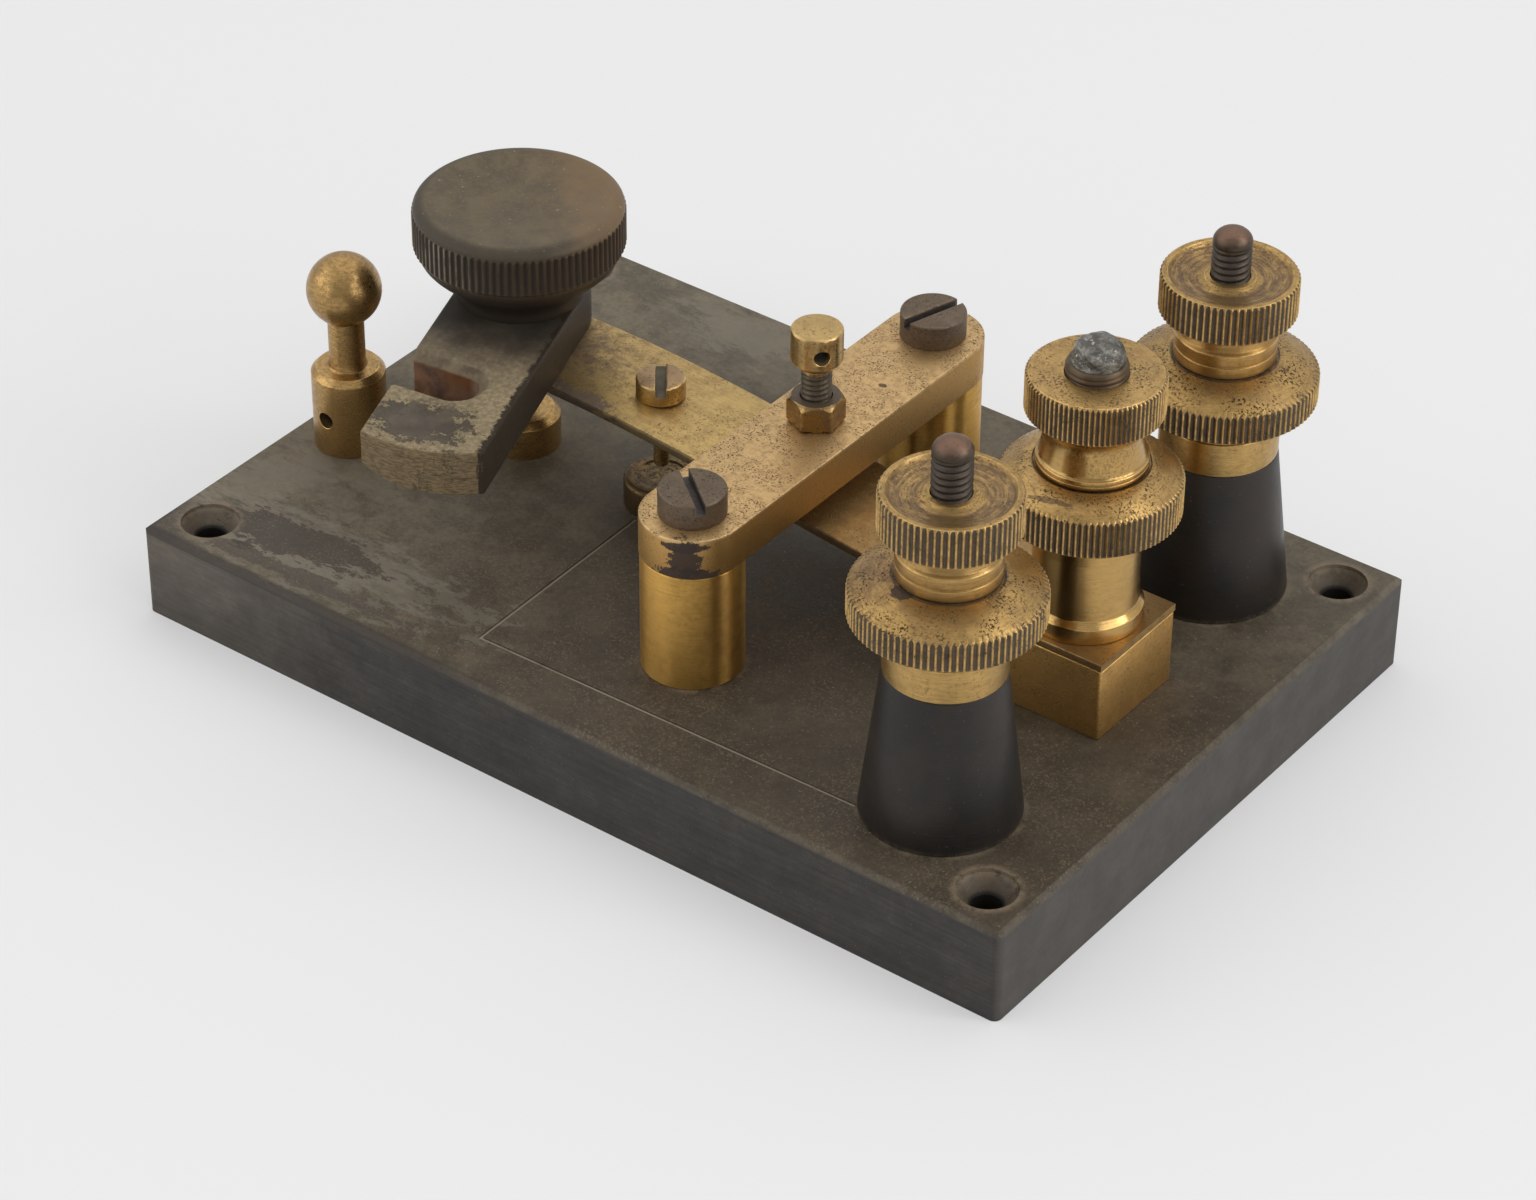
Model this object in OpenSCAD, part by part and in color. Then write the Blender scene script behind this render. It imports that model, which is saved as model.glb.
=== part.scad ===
// Isolating key switch: an ebonite base with three terminals, a spring key and a swinging latch.
// Millimetres, +Z up, origin at the centre of the base's underside.
// The key lies along X: its clamped end is on the +X side and its finger knob on the -X side.

/* [Base] */
// Length of the base
base_l = 152.4; // [148:0.2:160]
// Width of the base
base_w = 101.6; // [98:0.2:110]
// Thickness of the base
base_t = 15; // [13:0.5:18]
// Bevel along the upper edges
base_bevel = 0.8; // [0.4:0.1:1.5]
// Radius of the upright corners
base_corner_r = 1.2; // [0.5:0.1:3]
// Distance of each fixing hole from the two edges
hole_inset = 7; // [6.4:0.1:9]
// Diameter of the fixing holes
hole_d = 4.3; // [3.5:0.1:5]
// Diameter of the countersinks
sink_d = 8.6; // [7:0.1:10]
// Width of the scribed line
line_w = 0.6; // [0.3:0.1:1]
// Depth of the scribed line
line_depth = 0.25; // [0.1:0.05:0.5]
// Distance of the scribed line's corner from the near edge
line_edge = 9.1; // [8:0.1:11]
// Slant of the scribed line's long leg over its length
line_slant = 1.5; // [0:0.1:2]

/* [Outer terminals] */
// Distance of the outer terminals from the +X end of the base
terminal_inset = 22.2; // [20.2:0.2:26.2]
// Distance of the outer terminals from the long edges
terminal_edge = 17.7; // [15.8:0.1:19.8]
// Height of the tapered pillars
cone_h = 23.4; // [18:0.2:28]
// Foot radius of the tapered pillars
cone_foot_r = 11.3; // [10:0.1:12.5]
// Top radius of the tapered pillars, also that of the hubs
cone_top_r = 8.5; // [7.6:0.1:9.5]
// Height of the brass hubs
hub_h = 8.45; // [7:0.05:10]
// Radius of the outer studs
stud_r = 2.8; // [2.4:0.05:3.2]
// Length of the near stud above its clamp nut
near_stud_free = 8.1; // [7:0.1:10]
// Length of the far stud above its clamp nut
far_stud_free = 7.2; // [6.8:0.1:10]
// Radius of the large nuts
big_nut_r = 13.4; // [12.6:0.1:14]
// Height of the large nuts' knurl
big_knurl_h = 4.5; // [3.5:0.1:5.5]
// Teeth of the large nuts' knurl
big_teeth = 88; // [60:2:100]
// Rise of the large nuts' domed top
big_rise = 2.3; // [1.8:0.1:3]
// Radius of the clamp nuts
clamp_r = 9.7; // [9:0.1:10.4]
// Height of the clamp nuts' neck
clamp_neck_h = 6.95; // [5.5:0.05:8]
// Radius of the clamp nuts' neck
clamp_neck_r = 7.2; // [6:0.1:7.6]
// Height of the clamp nuts' knurl
clamp_knurl_h = 5.7; // [4.5:0.1:6.5]
// Teeth of the clamp nuts' knurl
clamp_teeth = 64; // [48:2:80]
// Depth of every knurl
knurl_depth = 0.35; // [0.2:0.05:0.6]

/* [Middle terminal] */
// Distance of the block's centre from the +X end of the base
block_inset = 22.5; // [21.2:0.1:23.7]
// Side of the square block
block_side = 18.2; // [16.5:0.1:19]
// Height of the block
block_h = 11.65; // [10:0.05:13]
// Radius of the column's flange
flange_r = 7.9; // [7.6:0.1:8.6]
// Height of the column's flange
flange_h = 3.2; // [2:0.1:4]
// Radius of the column
column_r = 7.4; // [6.8:0.1:7.5]
// Height of the column with its flange
column_h = 17.35; // [16:0.05:20]
// Radius of the column's threaded end
column_stud_r = 4.37; // [3.8:0.01:4.6]
// Radius of the middle large nut
mid_nut_r = 12.7; // [12:0.1:13.4]
// Height of the middle large nut's knurl
mid_knurl_h = 5.7; // [4.5:0.1:6.5]
// Teeth of the middle large nut
mid_teeth = 94; // [70:2:100]
// Rise of the three steps on the middle large nut
mid_rise = 2.05; // [1.6:0.05:2.6]
// Radius of the middle clamp nut
mid_clamp_r = 9.6; // [9:0.1:10.2]
// Height of the middle clamp nut's coved neck
mid_neck_h = 8.6; // [7:0.1:10]
// Height of the middle clamp nut's knurl
mid_clamp_h = 6.15; // [5:0.05:7]
// Teeth of the middle clamp nut
mid_clamp_teeth = 82; // [60:2:90]
// Height of the cap of solder
solder_h = 3.2; // [2.4:0.1:4.5]

/* [Key] */
// Sideways place of the key's centre line
key_y = 0.7; // [0:0.1:1.4]
// Width of the contact strip
strip_w = 18.4; // [16.8:0.1:19]
// Thickness of the contact strip
strip_t = 1.2; // [0.8:0.05:1.4]
// Rise of the strip from the block to the knob
strip_rise = 6.5; // [5.5:0.1:7]
// Distance of the knob's axis from the -X end of the base
knob_inset = 29.9; // [29.2:0.1:30.7]
// Distance from the knob's axis to where the strip becomes level
strip_level = 10.3; // [9.3:0.1:12.3]
// Angle through which the key goes down
press_angle = 1.75; // [1.6:0.05:1.9]
// Distance of the contact screw from the knob's axis
contact_gap = 26; // [25:0.1:26.8]
// Direction of the contact screw's slot
contact_turn = -52.3; // [-90:0.1:90]
// Head radius of the contact screw
contact_head_r = 3.65; // [3.2:0.05:4]
// Head height of the contact screw
contact_head_h = 3; // [2.5:0.1:3.5]
// Shank radius of the contact screw
contact_shank_r = 1.7; // [1.4:0.1:2]
// Pin radius of the contact screw
contact_pin_r = 1.15; // [0.9:0.05:1.3]
// Radius of the lower contact
anvil_r = 5.6; // [5:0.1:6.2]
// Height of the lower contact
anvil_h = 4.6; // [4:0.1:5.5]
// Radius of the stop stud
stop_r = 5.5; // [4.8:0.1:6]
// Height of the stop stud
stop_h = 6; // [5:0.1:7]

/* [Latch] */
// Thickness of the arm
arm_t = 7.1; // [6.5:0.1:7.4]
// Width of the arm
arm_w = 18.4; // [17:0.1:19]
// Length of the arm from the knob's axis to its tip
arm_reach = 44; // [42:0.5:46]
// Radius of the arm's bowed front
arm_bow_r = 20; // [17:0.5:26]
// Length of the arm behind the knob's axis
arm_tail = 12.5; // [11:0.5:13.5]
// Direction of the arm as seen from above
arm_angle = -70; // [-74:1:-66]
// Width of the slot
slot_w = 6.4; // [6.2:0.1:6.8]
// Width of the sloped seat beside the slot
seat_w = 1.85; // [1:0.05:2.2]
// Depth of the sloped seat
seat_depth = 1.35; // [0.8:0.05:1.8]
// Radius of the knob
knob_r = 15.6; // [14.6:0.1:16.4]
// Radius of the knob's neck on the arm
knob_neck_r = 9.5; // [8.5:0.1:10.5]
// Height of the knob
knob_h = 15.6; // [14:0.05:16.5]
// Height of the knob's knurl
knob_knurl_h = 5.7; // [4.5:0.1:6.5]
// Height of the knob's rounded lip
lip_h = 1.55; // [1:0.05:2]
// Ribs round the knob
knob_teeth = 88; // [60:2:96]
// Depth of the hollow in the knob's top
knob_dish = 1.2; // [0.6:0.1:2]
// Shank radius of the pivot bolt
pivot_r = 2.5; // [2:0.05:3]
// Distance of the latch post from the -X end of the base
post_inset = 9.2; // [8.6:0.1:9.6]
// Place of the latch post along Y
post_y = -14.9; // [-15.5:0.1:-14.5]
// Radius of the latch post's foot
post_r = 5.55; // [5:0.05:6]
// Height of the latch post's foot
post_foot_h = 13.3; // [12:0.1:14]
// Radius of the latch post's stem
post_stem_r = 2.72; // [2.4:0.02:2.8]
// Radius of the latch post's ball
ball_r = 5.58; // [5.2:0.02:5.8]
// Height of the ball's centre above the base
ball_z = 26.4; // [25.5:0.1:27]

/* [Bridge] */
// Place of the bridge along X
bridge_x = 7.3; // [5:0.1:9]
// Sideways place of the bridge's middle
bridge_y = 1; // [0.4:0.1:1.4]
// Half the distance between the pillars
bridge_half = 28.4; // [27:0.1:30]
// Radius of the pillars
pillar_r = 7.4; // [6.6:0.1:7.5]
// Height of the pillars
pillar_h = 19; // [18.5:0.1:21]
// Half the width of the bar
bar_r = 7.5; // [7:0.1:8.2]
// Thickness of the bar
bar_t = 6.35; // [5.5:0.05:7]
// Head radius of the bridge screws
cheese_r = 4.85; // [4.4:0.05:5.4]
// Direction of the near bridge screw's slot
near_turn = -38; // [-90:1:90]
// Direction of the far bridge screw's slot
far_turn = 73; // [-90:1:90]
// Head height of the bridge screws
cheese_h = 3.95; // [3.4:0.05:4.4]
// Shank radius of the bridge screws
bridge_shank_r = 2.5; // [2.2:0.1:2.8]
// Shank radius of the adjusting screw
adjust_r = 2.3; // [2:0.05:2.5]
// Head radius of the adjusting screw
adjust_head_r = 3.74; // [3.3:0.02:4.2]
// Head height of the adjusting screw
adjust_head_h = 6.1; // [5.4:0.1:6.8]
// Length of shank between the bar and the head
adjust_free = 9.35; // [8.8:0.05:10.5]
// Radius of the hole across the head
tommy_r = 1.15; // [0.9:0.05:1.3]
// Direction of the hole across the head
tommy_turn = -42; // [-90:1:90]
// Width across the flats of the locknut
locknut_af = 7.3; // [7.1:0.1:8]
// Height of the locknut
locknut_h = 4.25; // [3.6:0.05:4.6]

/* [Underside] */
// Depth of the pockets under the base
pocket_depth = 4.2; // [4:0.1:5]
// Thickness of the connecting straps
strap_t = 1; // [0.8:0.1:1.2]
// Width of the connecting straps
strap_w = 6; // [5:0.5:7]
// Shank radius of the screws from below
low_shank_r = 2; // [1.6:0.1:2.2]
// Head radius of the screws from below
low_head_r = 3.75; // [3.4:0.05:4]
// Width across the flats of the nuts below
low_nut_af = 9.5; // [9:0.1:10]
// Height of the nuts and heads below
low_h = 2.5; // [2:0.1:2.8]

/* [Fits] */
// Radial room of a nut or screw on its thread, and of the pivot
run_fit = 0.06; // [0.04:0.01:0.08]
// Radial room of a shank in a plain hole
hole_fit = 0.2; // [0.15:0.05:0.3]
// Room between faces that pass each other
face_fit = 0.05; // [0.04:0.01:0.08]

/* [Hidden] */
$fn = 72;
eps = 0.01;

brass = [0.62, 0.49, 0.24];
dark_brass = [0.42, 0.31, 0.17];
ebonite = [0.16, 0.15, 0.14];
worn_ebonite = [0.45, 0.39, 0.30];
grey_metal = [0.45, 0.44, 0.42];

hole_x = base_l / 2 - hole_inset;
hole_y = base_w / 2 - hole_inset;
terminal_x = base_l / 2 - terminal_inset;
terminal_y = base_w / 2 - terminal_edge;
block_x = base_l / 2 - block_inset;
knob_x = knob_inset - base_l / 2;
strip_level_x = knob_x + strip_level;
contact_x = knob_x + contact_gap;
post_x = post_inset - base_l / 2;
line_corner = [contact_x + 0.7, line_edge - base_w / 2];
line_end = [terminal_x - cone_foot_r + 2, line_corner[1] + line_slant];

hub_z = base_t + cone_h;
big_nut_z = hub_z + hub_h + face_fit;
big_nut_h = big_knurl_h + big_rise;
clamp_z = big_nut_z + big_nut_h + face_fit;
clamp_rim = 0.35;
clamp_h = clamp_neck_h + clamp_knurl_h + clamp_rim;
clamp_top = clamp_z + clamp_h;

block_top = base_t + block_h;
strip_z = block_top + strip_t;
block_x0 = block_x - block_side / 2;
block_x1 = block_x + block_side / 2;
column_top = strip_z + column_h;
mid_nut_z = column_top + face_fit;
mid_nut_h = mid_knurl_h + mid_rise;
mid_clamp_z = mid_nut_z + mid_nut_h + face_fit;
mid_clamp_top = mid_clamp_z + mid_neck_h + mid_clamp_h;
column_stud_top = mid_clamp_top + 1.3;

// The strip's upper face follows a smooth step between the block and its level end.
function smooth_step(t) = t * t * (3 - 2 * t);
function strip_top(x) =
    strip_z + strip_rise * smooth_step(min(1, max(0, (block_x0 - x) / (block_x0 - strip_level_x))));

lever_z = strip_z - strip_t / 2;
arm_z = strip_z + strip_rise + face_fit;
arm_top = arm_z + arm_t;

// Drop at distance d from the strip's root when the key is fully down.
function drop(d) = d * sin(press_angle);
anvil_top = base_t + anvil_h;
contact_seat = strip_top(contact_x);
contact_tip = anvil_top + drop(block_x0 - contact_x + contact_pin_r) + face_fit;
stop_top = base_t + stop_h;
pivot_tip = stop_top + drop(block_x0 - knob_x + pivot_r) + face_fit;
pivot_head_top = strip_z + strip_rise - strip_t - face_fit;

// The slot is the chord of the circle that the post's stem draws on the turning arm.
latch_r = norm([post_x - knob_x, post_y - key_y]);
slot_end_a = -1.4;
slot_mouth_a = -asin(arm_w / 2 / latch_r) - 2;
slot_end = latch_r * [cos(slot_end_a), sin(slot_end_a)];
slot_mouth = latch_r * [cos(slot_mouth_a), sin(slot_mouth_a)];
slot_dir = atan2(slot_mouth[1] - slot_end[1], slot_mouth[0] - slot_end[0]);

bridge_y0 = bridge_y - bridge_half;
bridge_y1 = bridge_y + bridge_half;
bar_z = base_t + pillar_h;
bar_top = bar_z + bar_t;
adjust_tip = strip_top(bridge_x - 1) + face_fit;
adjust_head_z = bar_top + adjust_free;

pocket_z = pocket_depth;
strap_z = pocket_depth - strap_t;
near_run_y = -terminal_y - 3.4;
near_pt = [terminal_x, -terminal_y];
far_pt = [terminal_x, terminal_y];
mid_pt = [block_x, key_y];
anvil_pt = [contact_x, key_y];
adjust_pt = [bridge_x, bridge_y];
far_leg_pt = [bridge_x, bridge_y1];
pad_r = 6.2;
nut_pocket_r = 6.8;
head_pocket_r = 4.8;
tail_end = strap_z - low_h - 0.3;

// Toothed disc standing on z = 0.
module knurl(r, h, teeth) {
    linear_extrude(height = h)
        polygon([for (i = [0 : 2 * teeth - 1])
            (i % 2 == 0 ? r : r - knurl_depth) * [cos(180 * i / teeth), sin(180 * i / teeth)]]);
}

module at(p, z = 0) {
    translate([p[0], p[1], z])
        children();
}

module rod(r, z0, z1) {
    translate([0, 0, z0])
        cylinder(r = r, h = z1 - z0);
}

module hexagon(af, h) {
    cylinder(d = af / cos(30), h = h, $fn = 6);
}

// Slot across a screw head whose top is at z.
module driver_slot(z, w, depth, length, turn) {
    rotate([0, 0, turn])
        translate([-length / 2, -w / 2, z - depth])
            cube([length, w, depth + 1]);
}

module base_outline() {
    r = base_corner_r;
    square([base_l - 2 * r, base_w], center = true);
    square([base_l, base_w - 2 * r], center = true);
    for (sx = [-1, 1])
        for (sy = [-1, 1])
            translate([sx * (base_l / 2 - r), sy * (base_w / 2 - r)])
                circle(r = r);
}

// Right-angled wedge that bevels one upper edge lying along X at y.
module edge_cutter(length, y) {
    translate([0, y, base_t])
        rotate([45, 0, 0])
            cube([length + 10, base_bevel * sqrt(2), base_bevel * sqrt(2)], center = true);
}

module scribed_bar(a, b) {
    d = b - a;
    translate([a[0], a[1], base_t - line_depth])
        rotate([0, 0, atan2(d[1], d[0])])
            translate([-line_w / 2, -line_w / 2, 0])
                cube([norm(d) + line_w, line_w, line_depth + 1]);
}

// Flat strap from a to b with round ends, drawn in the plane.
module strap_bar(a, b, w) {
    d = b - a;
    translate(a) {
        circle(d = w);
        rotate(atan2(d[1], d[0]))
            translate([0, -w / 2])
                square([norm(d), w]);
    }
    translate(b)
        circle(d = w);
}

module near_strap_outline(grow) {
    corner = [contact_x, near_run_y];
    strap_bar([terminal_x, near_run_y], corner, strap_w + grow);
    strap_bar(corner, anvil_pt, strap_w + grow);
    translate(near_pt)
        circle(r = pad_r + grow / 2);
    translate(anvil_pt)
        circle(r = pad_r + grow / 2);
}

module far_strap_outline(grow) {
    strap_bar(far_pt, far_leg_pt, strap_w + grow);
    translate(far_pt)
        circle(r = pad_r + grow / 2);
    translate(far_leg_pt)
        circle(r = pad_r + grow / 2);
}

module base_plate() {
    color(ebonite)
    difference() {
        linear_extrude(height = base_t)
            base_outline();
        for (s = [-1, 1])
            edge_cutter(base_l, s * base_w / 2);
        rotate([0, 0, 90])
            for (s = [-1, 1])
                edge_cutter(base_w, s * base_l / 2);
        for (sx = [-1, 1])
            for (sy = [-1, 1])
                at([sx * hole_x, sy * hole_y]) {
                    rod(hole_d / 2, -1, base_t + 1);
                    rod(sink_d / 2, base_t - 0.6, base_t + 1);
                    translate([0, 0, base_t - 0.6 - (sink_d - hole_d) / 2])
                        cylinder(d1 = hole_d, d2 = sink_d, h = (sink_d - hole_d) / 2);
                }
        scribed_bar([contact_x, key_y - anvil_r - line_w], line_corner);
        scribed_bar(line_corner, line_end);
        for (p = [near_pt, far_pt, mid_pt, anvil_pt])
            at(p) {
                rod(stud_r + hole_fit, -1, base_t + 1);
                rod(nut_pocket_r, -1, pocket_z);
            }
        for (p = [[bridge_x, bridge_y0], far_leg_pt, [knob_x, key_y], [post_x, post_y]])
            at(p) {
                rod(low_shank_r + hole_fit, -1, base_t + 1);
                rod(head_pocket_r, -1, pocket_z);
            }
        translate([0, 0, -1])
            linear_extrude(height = pocket_z + 1)
                near_strap_outline(0.8);
        translate([0, 0, -1])
            linear_extrude(height = pocket_z + 1)
                far_strap_outline(0.8);
    }
}

module outer_pillar(p) {
    color(ebonite)
    at(p, base_t)
        difference() {
            cylinder(r1 = cone_foot_r, r2 = cone_top_r, h = cone_h);
            rod(stud_r + hole_fit, -1, cone_h + 1);
        }
}

module outer_hub(p) {
    groove = 0.25;
    color(brass)
    at(p, hub_z)
        difference() {
            cylinder(r = cone_top_r, h = hub_h);
            rod(stud_r + run_fit, -1, hub_h + 1);
            for (z = [0.26, 0.62] * hub_h)
                difference() {
                    rod(cone_top_r + 1, z, z + 0.5);
                    rod(cone_top_r - groove, z - 1, z + 2);
                }
        }
}

module outer_stud(p, top) {
    crown_r = 1.2 * stud_r;
    color(dark_brass)
    at(p)
        intersection() {
            rod(stud_r, tail_end, top);
            union() {
                rod(stud_r + 1, 0, top - crown_r);
                translate([0, 0, top - crown_r])
                    sphere(r = crown_r);
            }
        }
}

// Large nut with a knurled rim and a low dome.
module outer_large_nut(p) {
    rim_r = big_nut_r - knurl_depth - 0.1;
    color(brass)
    at(p, big_nut_z)
        difference() {
            union() {
                translate([0, 0, 0.3])
                    knurl(big_nut_r, big_knurl_h - 0.3, big_teeth);
                cylinder(r = rim_r, h = big_knurl_h);
                rotate_extrude()
                    polygon(concat([[0, big_knurl_h - 1], [rim_r, big_knurl_h - 1]],
                        [for (i = [0 : 6]) let (t = i / 6, r = rim_r + (clamp_neck_r - rim_r) * t)
                            [r, big_knurl_h + big_rise * (1 - pow(1 - t, 1.7))]],
                        [[0, big_nut_h]]));
            }
            rod(stud_r + run_fit, -1, big_nut_h + 1);
        }
}

// Clamp nut: a neck, a knurled grip and a raised rim round a shallow dish.
module outer_clamp_nut(p) {
    k0 = clamp_neck_h;
    k1 = clamp_neck_h + clamp_knurl_h;
    rim_r = clamp_r - knurl_depth - 0.05;
    color(brass)
    at(p, clamp_z)
        difference() {
            union() {
                translate([0, 0, k0])
                    knurl(clamp_r, clamp_knurl_h, clamp_teeth);
                rotate_extrude()
                    polygon([[0, 0], [clamp_neck_r - 0.3, 0], [clamp_neck_r, 0.3], [clamp_neck_r, k0 - 1.9],
                             [clamp_neck_r - 0.6, k0 - 1.6], [clamp_neck_r - 0.6, k0 - 0.6],
                             [rim_r, k0], [rim_r, k1], [rim_r - 0.5, clamp_h], [rim_r - 1.1, clamp_h],
                             [rim_r - 1.8, k1 - 0.1], [0, k1 - 0.1]]);
            }
            rod(stud_r + run_fit, -1, clamp_h + 1);
        }
}

module near_pillar() { outer_pillar(near_pt); }
module far_pillar() { outer_pillar(far_pt); }
module near_hub() { outer_hub(near_pt); }
module far_hub() { outer_hub(far_pt); }
module near_stud() { outer_stud(near_pt, clamp_top + near_stud_free); }
module far_stud() { outer_stud(far_pt, clamp_top + far_stud_free); }
module near_large_nut() { outer_large_nut(near_pt); }
module far_large_nut() { outer_large_nut(far_pt); }
module near_clamp_nut() { outer_clamp_nut(near_pt); }
module far_clamp_nut() { outer_clamp_nut(far_pt); }

module terminal_block() {
    color(brass)
    difference() {
        translate([block_x0, key_y - block_side / 2, base_t])
            cube([block_side, block_side, block_h]);
        at(mid_pt)
            rod(stud_r + run_fit, base_t - 1, block_top + 1);
    }
}

// Column turned in one piece with its tail below and its threaded end above.
module middle_column() {
    color(brass)
    at(mid_pt) {
        rod(stud_r, tail_end, strip_z + 1);
        rotate_extrude()
            polygon([[0, strip_z], [flange_r, strip_z], [flange_r, strip_z + flange_h - 0.8],
                     [flange_r - 0.25, strip_z + flange_h - 0.25], [column_r, strip_z + flange_h],
                     [column_r - 0.2, strip_z + 0.45 * column_h], [column_r - 0.2, strip_z + 0.7 * column_h],
                     [column_r, column_top - 0.4], [column_r - 0.4, column_top], [0, column_top]]);
        rod(column_stud_r, column_top - 1, column_stud_top);
    }
}

module solder_cap() {
    r = column_stud_r - 0.6;
    color(grey_metal)
    at(mid_pt, column_stud_top)
        rotate_extrude()
            polygon(concat([[0, 0]],
                [for (i = [0 : 7]) let (t = i / 7) [r * sqrt(1 - pow(t, 3)), solder_h * t]]));
}

// Large nut whose top rises in three turned steps.
module middle_large_nut() {
    rim_r = mid_nut_r - knurl_depth - 0.1;
    top_r = 8.3;
    step_r = (rim_r - top_r) / 3;
    step_h = mid_rise / 3;
    color(brass)
    at(mid_pt, mid_nut_z)
        difference() {
            union() {
                translate([0, 0, 0.3])
                    knurl(mid_nut_r, mid_knurl_h - 0.3, mid_teeth);
                rotate_extrude()
                    polygon(concat([[0, 0], [rim_r, 0], [rim_r, mid_knurl_h]],
                        [for (i = [0 : 2], e = [0, 1])
                            [rim_r - (i + e) * step_r - (e == 0 ? 0.3 : -0.2), mid_knurl_h + (i + e) * step_h]],
                        [[0, mid_nut_h]]));
            }
            rod(column_stud_r + run_fit, -1, mid_nut_h + 1);
        }
}

// Clamp nut with a bead at its foot and a cove that swells into the knurled grip.
module middle_clamp_nut() {
    rim_r = mid_clamp_r - knurl_depth - 0.05;
    bead_r = 7.8;
    waist_r = 6.5;
    color(brass)
    at(mid_pt, mid_clamp_z)
        difference() {
            union() {
                translate([0, 0, mid_neck_h])
                    knurl(mid_clamp_r, mid_clamp_h - 0.4, mid_clamp_teeth);
                rotate_extrude()
                    polygon(concat([[0, 0], [bead_r - 0.4, 0], [bead_r, 0.4], [bead_r, 1.1], [bead_r - 0.4, 1.5]],
                        [for (i = [0 : 6]) let (t = i / 6)
                            [waist_r + (rim_r - waist_r) * pow(t, 2.2), 1.9 + (mid_neck_h - 1.9) * t]],
                        [[rim_r, mid_neck_h + mid_clamp_h - 0.4], [rim_r - 0.4, mid_neck_h + mid_clamp_h],
                         [0, mid_neck_h + mid_clamp_h]]));
            }
            rod(column_stud_r + run_fit, -1, mid_neck_h + mid_clamp_h + 1);
        }
}

// Leaf spring: its side view follows strip_top, its free end is round about the knob's axis.
module contact_strip() {
    xs = concat([block_x1], [for (i = [0 : 24]) block_x0 + (strip_level_x - block_x0) * i / 24],
                [knob_x - strip_w]);
    n = len(xs);
    color(brass)
    difference() {
        intersection() {
            translate([0, key_y + strip_w / 2, 0])
                rotate([90, 0, 0])
                    linear_extrude(height = strip_w)
                        polygon(concat([for (x = xs) [x, strip_top(x)]],
                                       [for (i = [n - 1 : -1 : 0]) [xs[i], strip_top(xs[i]) - strip_t]]));
            linear_extrude(height = strip_z + strip_rise + 5) {
                translate([knob_x, key_y])
                    circle(d = strip_w);
                translate([knob_x, key_y - strip_w / 2])
                    square([block_x1 - knob_x, strip_w]);
            }
        }
        at(mid_pt)
            rod(stud_r + run_fit, block_top - 1, strip_z + 1);
        at([knob_x, key_y])
            rod(pivot_r + run_fit, pivot_head_top - 1, arm_z + 1);
        at(anvil_pt) {
            rod(contact_shank_r + run_fit, contact_seat - 5, contact_seat + 5);
            rod(contact_head_r + run_fit, contact_seat, contact_seat + 5);
        }
    }
}

module contact_screw() {
    top = contact_seat + contact_head_h;
    color(dark_brass)
    at(anvil_pt)
        difference() {
            union() {
                rod(contact_head_r, contact_seat, top - 0.4);
                translate([0, 0, top - 0.4])
                    cylinder(r1 = contact_head_r, r2 = contact_head_r - 0.4, h = 0.4);
                rod(contact_shank_r, contact_seat - 5, contact_seat + 1);
                rod(contact_pin_r, contact_tip, contact_seat);
            }
            driver_slot(top, 1.5, 1.4, 2 * contact_head_r + 2, contact_turn);
        }
}

module lower_contact() {
    edge = 0.7;
    color(brass)
    at(anvil_pt) {
        rod(stud_r, tail_end, base_t + 1);
        rotate_extrude()
            polygon(concat([[0, base_t], [anvil_r, base_t]],
                [for (i = [0 : 4]) let (a = 90 * i / 4)
                    [anvil_r - edge + edge * cos(a), anvil_top - edge + edge * sin(a)]],
                [[0, anvil_top]]));
    }
}

module stop_stud() {
    color(brass)
    at([knob_x, key_y], base_t)
        difference() {
            union() {
                cylinder(r = stop_r, h = stop_h - 1);
                translate([0, 0, stop_h - 1])
                    cylinder(r1 = stop_r, r2 = stop_r - 1, h = 1);
            }
            rod(low_shank_r + run_fit, -1, stop_h - 1.2);
        }
}

// Plan of the arm along +X from the knob's axis: a round tail and a bowed front.
module arm_outline() {
    bow_x = arm_reach - arm_bow_r;
    translate([arm_w / 2 - arm_tail, 0])
        circle(d = arm_w);
    translate([arm_w / 2 - arm_tail, -arm_w / 2])
        square([bow_x - arm_w / 2 + arm_tail, arm_w]);
    intersection() {
        translate([bow_x, 0])
            circle(r = arm_bow_r);
        translate([bow_x, -arm_w / 2])
            square([arm_bow_r + 1, arm_w]);
    }
}

// Open slot for the post's stem, with a seat that slopes down to it on both sides and round its end.
module arm_slot() {
    length = arm_w;
    half = slot_w / 2;
    slope = seat_w / seat_depth;
    z0 = arm_t - seat_depth - 0.4;
    z1 = arm_t + 0.5;
    low = half - 0.4 * slope;
    high = half + seat_w + 0.5 * slope;
    translate([slot_end[0], slot_end[1], 0])
        rotate([0, 0, slot_dir]) {
            rod(half, -1, arm_t + 1);
            translate([0, -half, -1])
                cube([length, slot_w, arm_t + 2]);
            translate([0, 0, z0])
                cylinder(r1 = low, r2 = high, h = z1 - z0);
            rotate([90, 0, 90])
                linear_extrude(height = length)
                    polygon([[-low, z0], [low, z0], [high, z1], [-high, z1]]);
        }
}

module latch_arm() {
    color(worn_ebonite)
    at([knob_x, key_y], arm_z)
        rotate([0, 0, arm_angle])
            difference() {
                linear_extrude(height = arm_t)
                    arm_outline();
                arm_slot();
                rod(pivot_r + run_fit, -1, arm_t + 1);
            }
}

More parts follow.
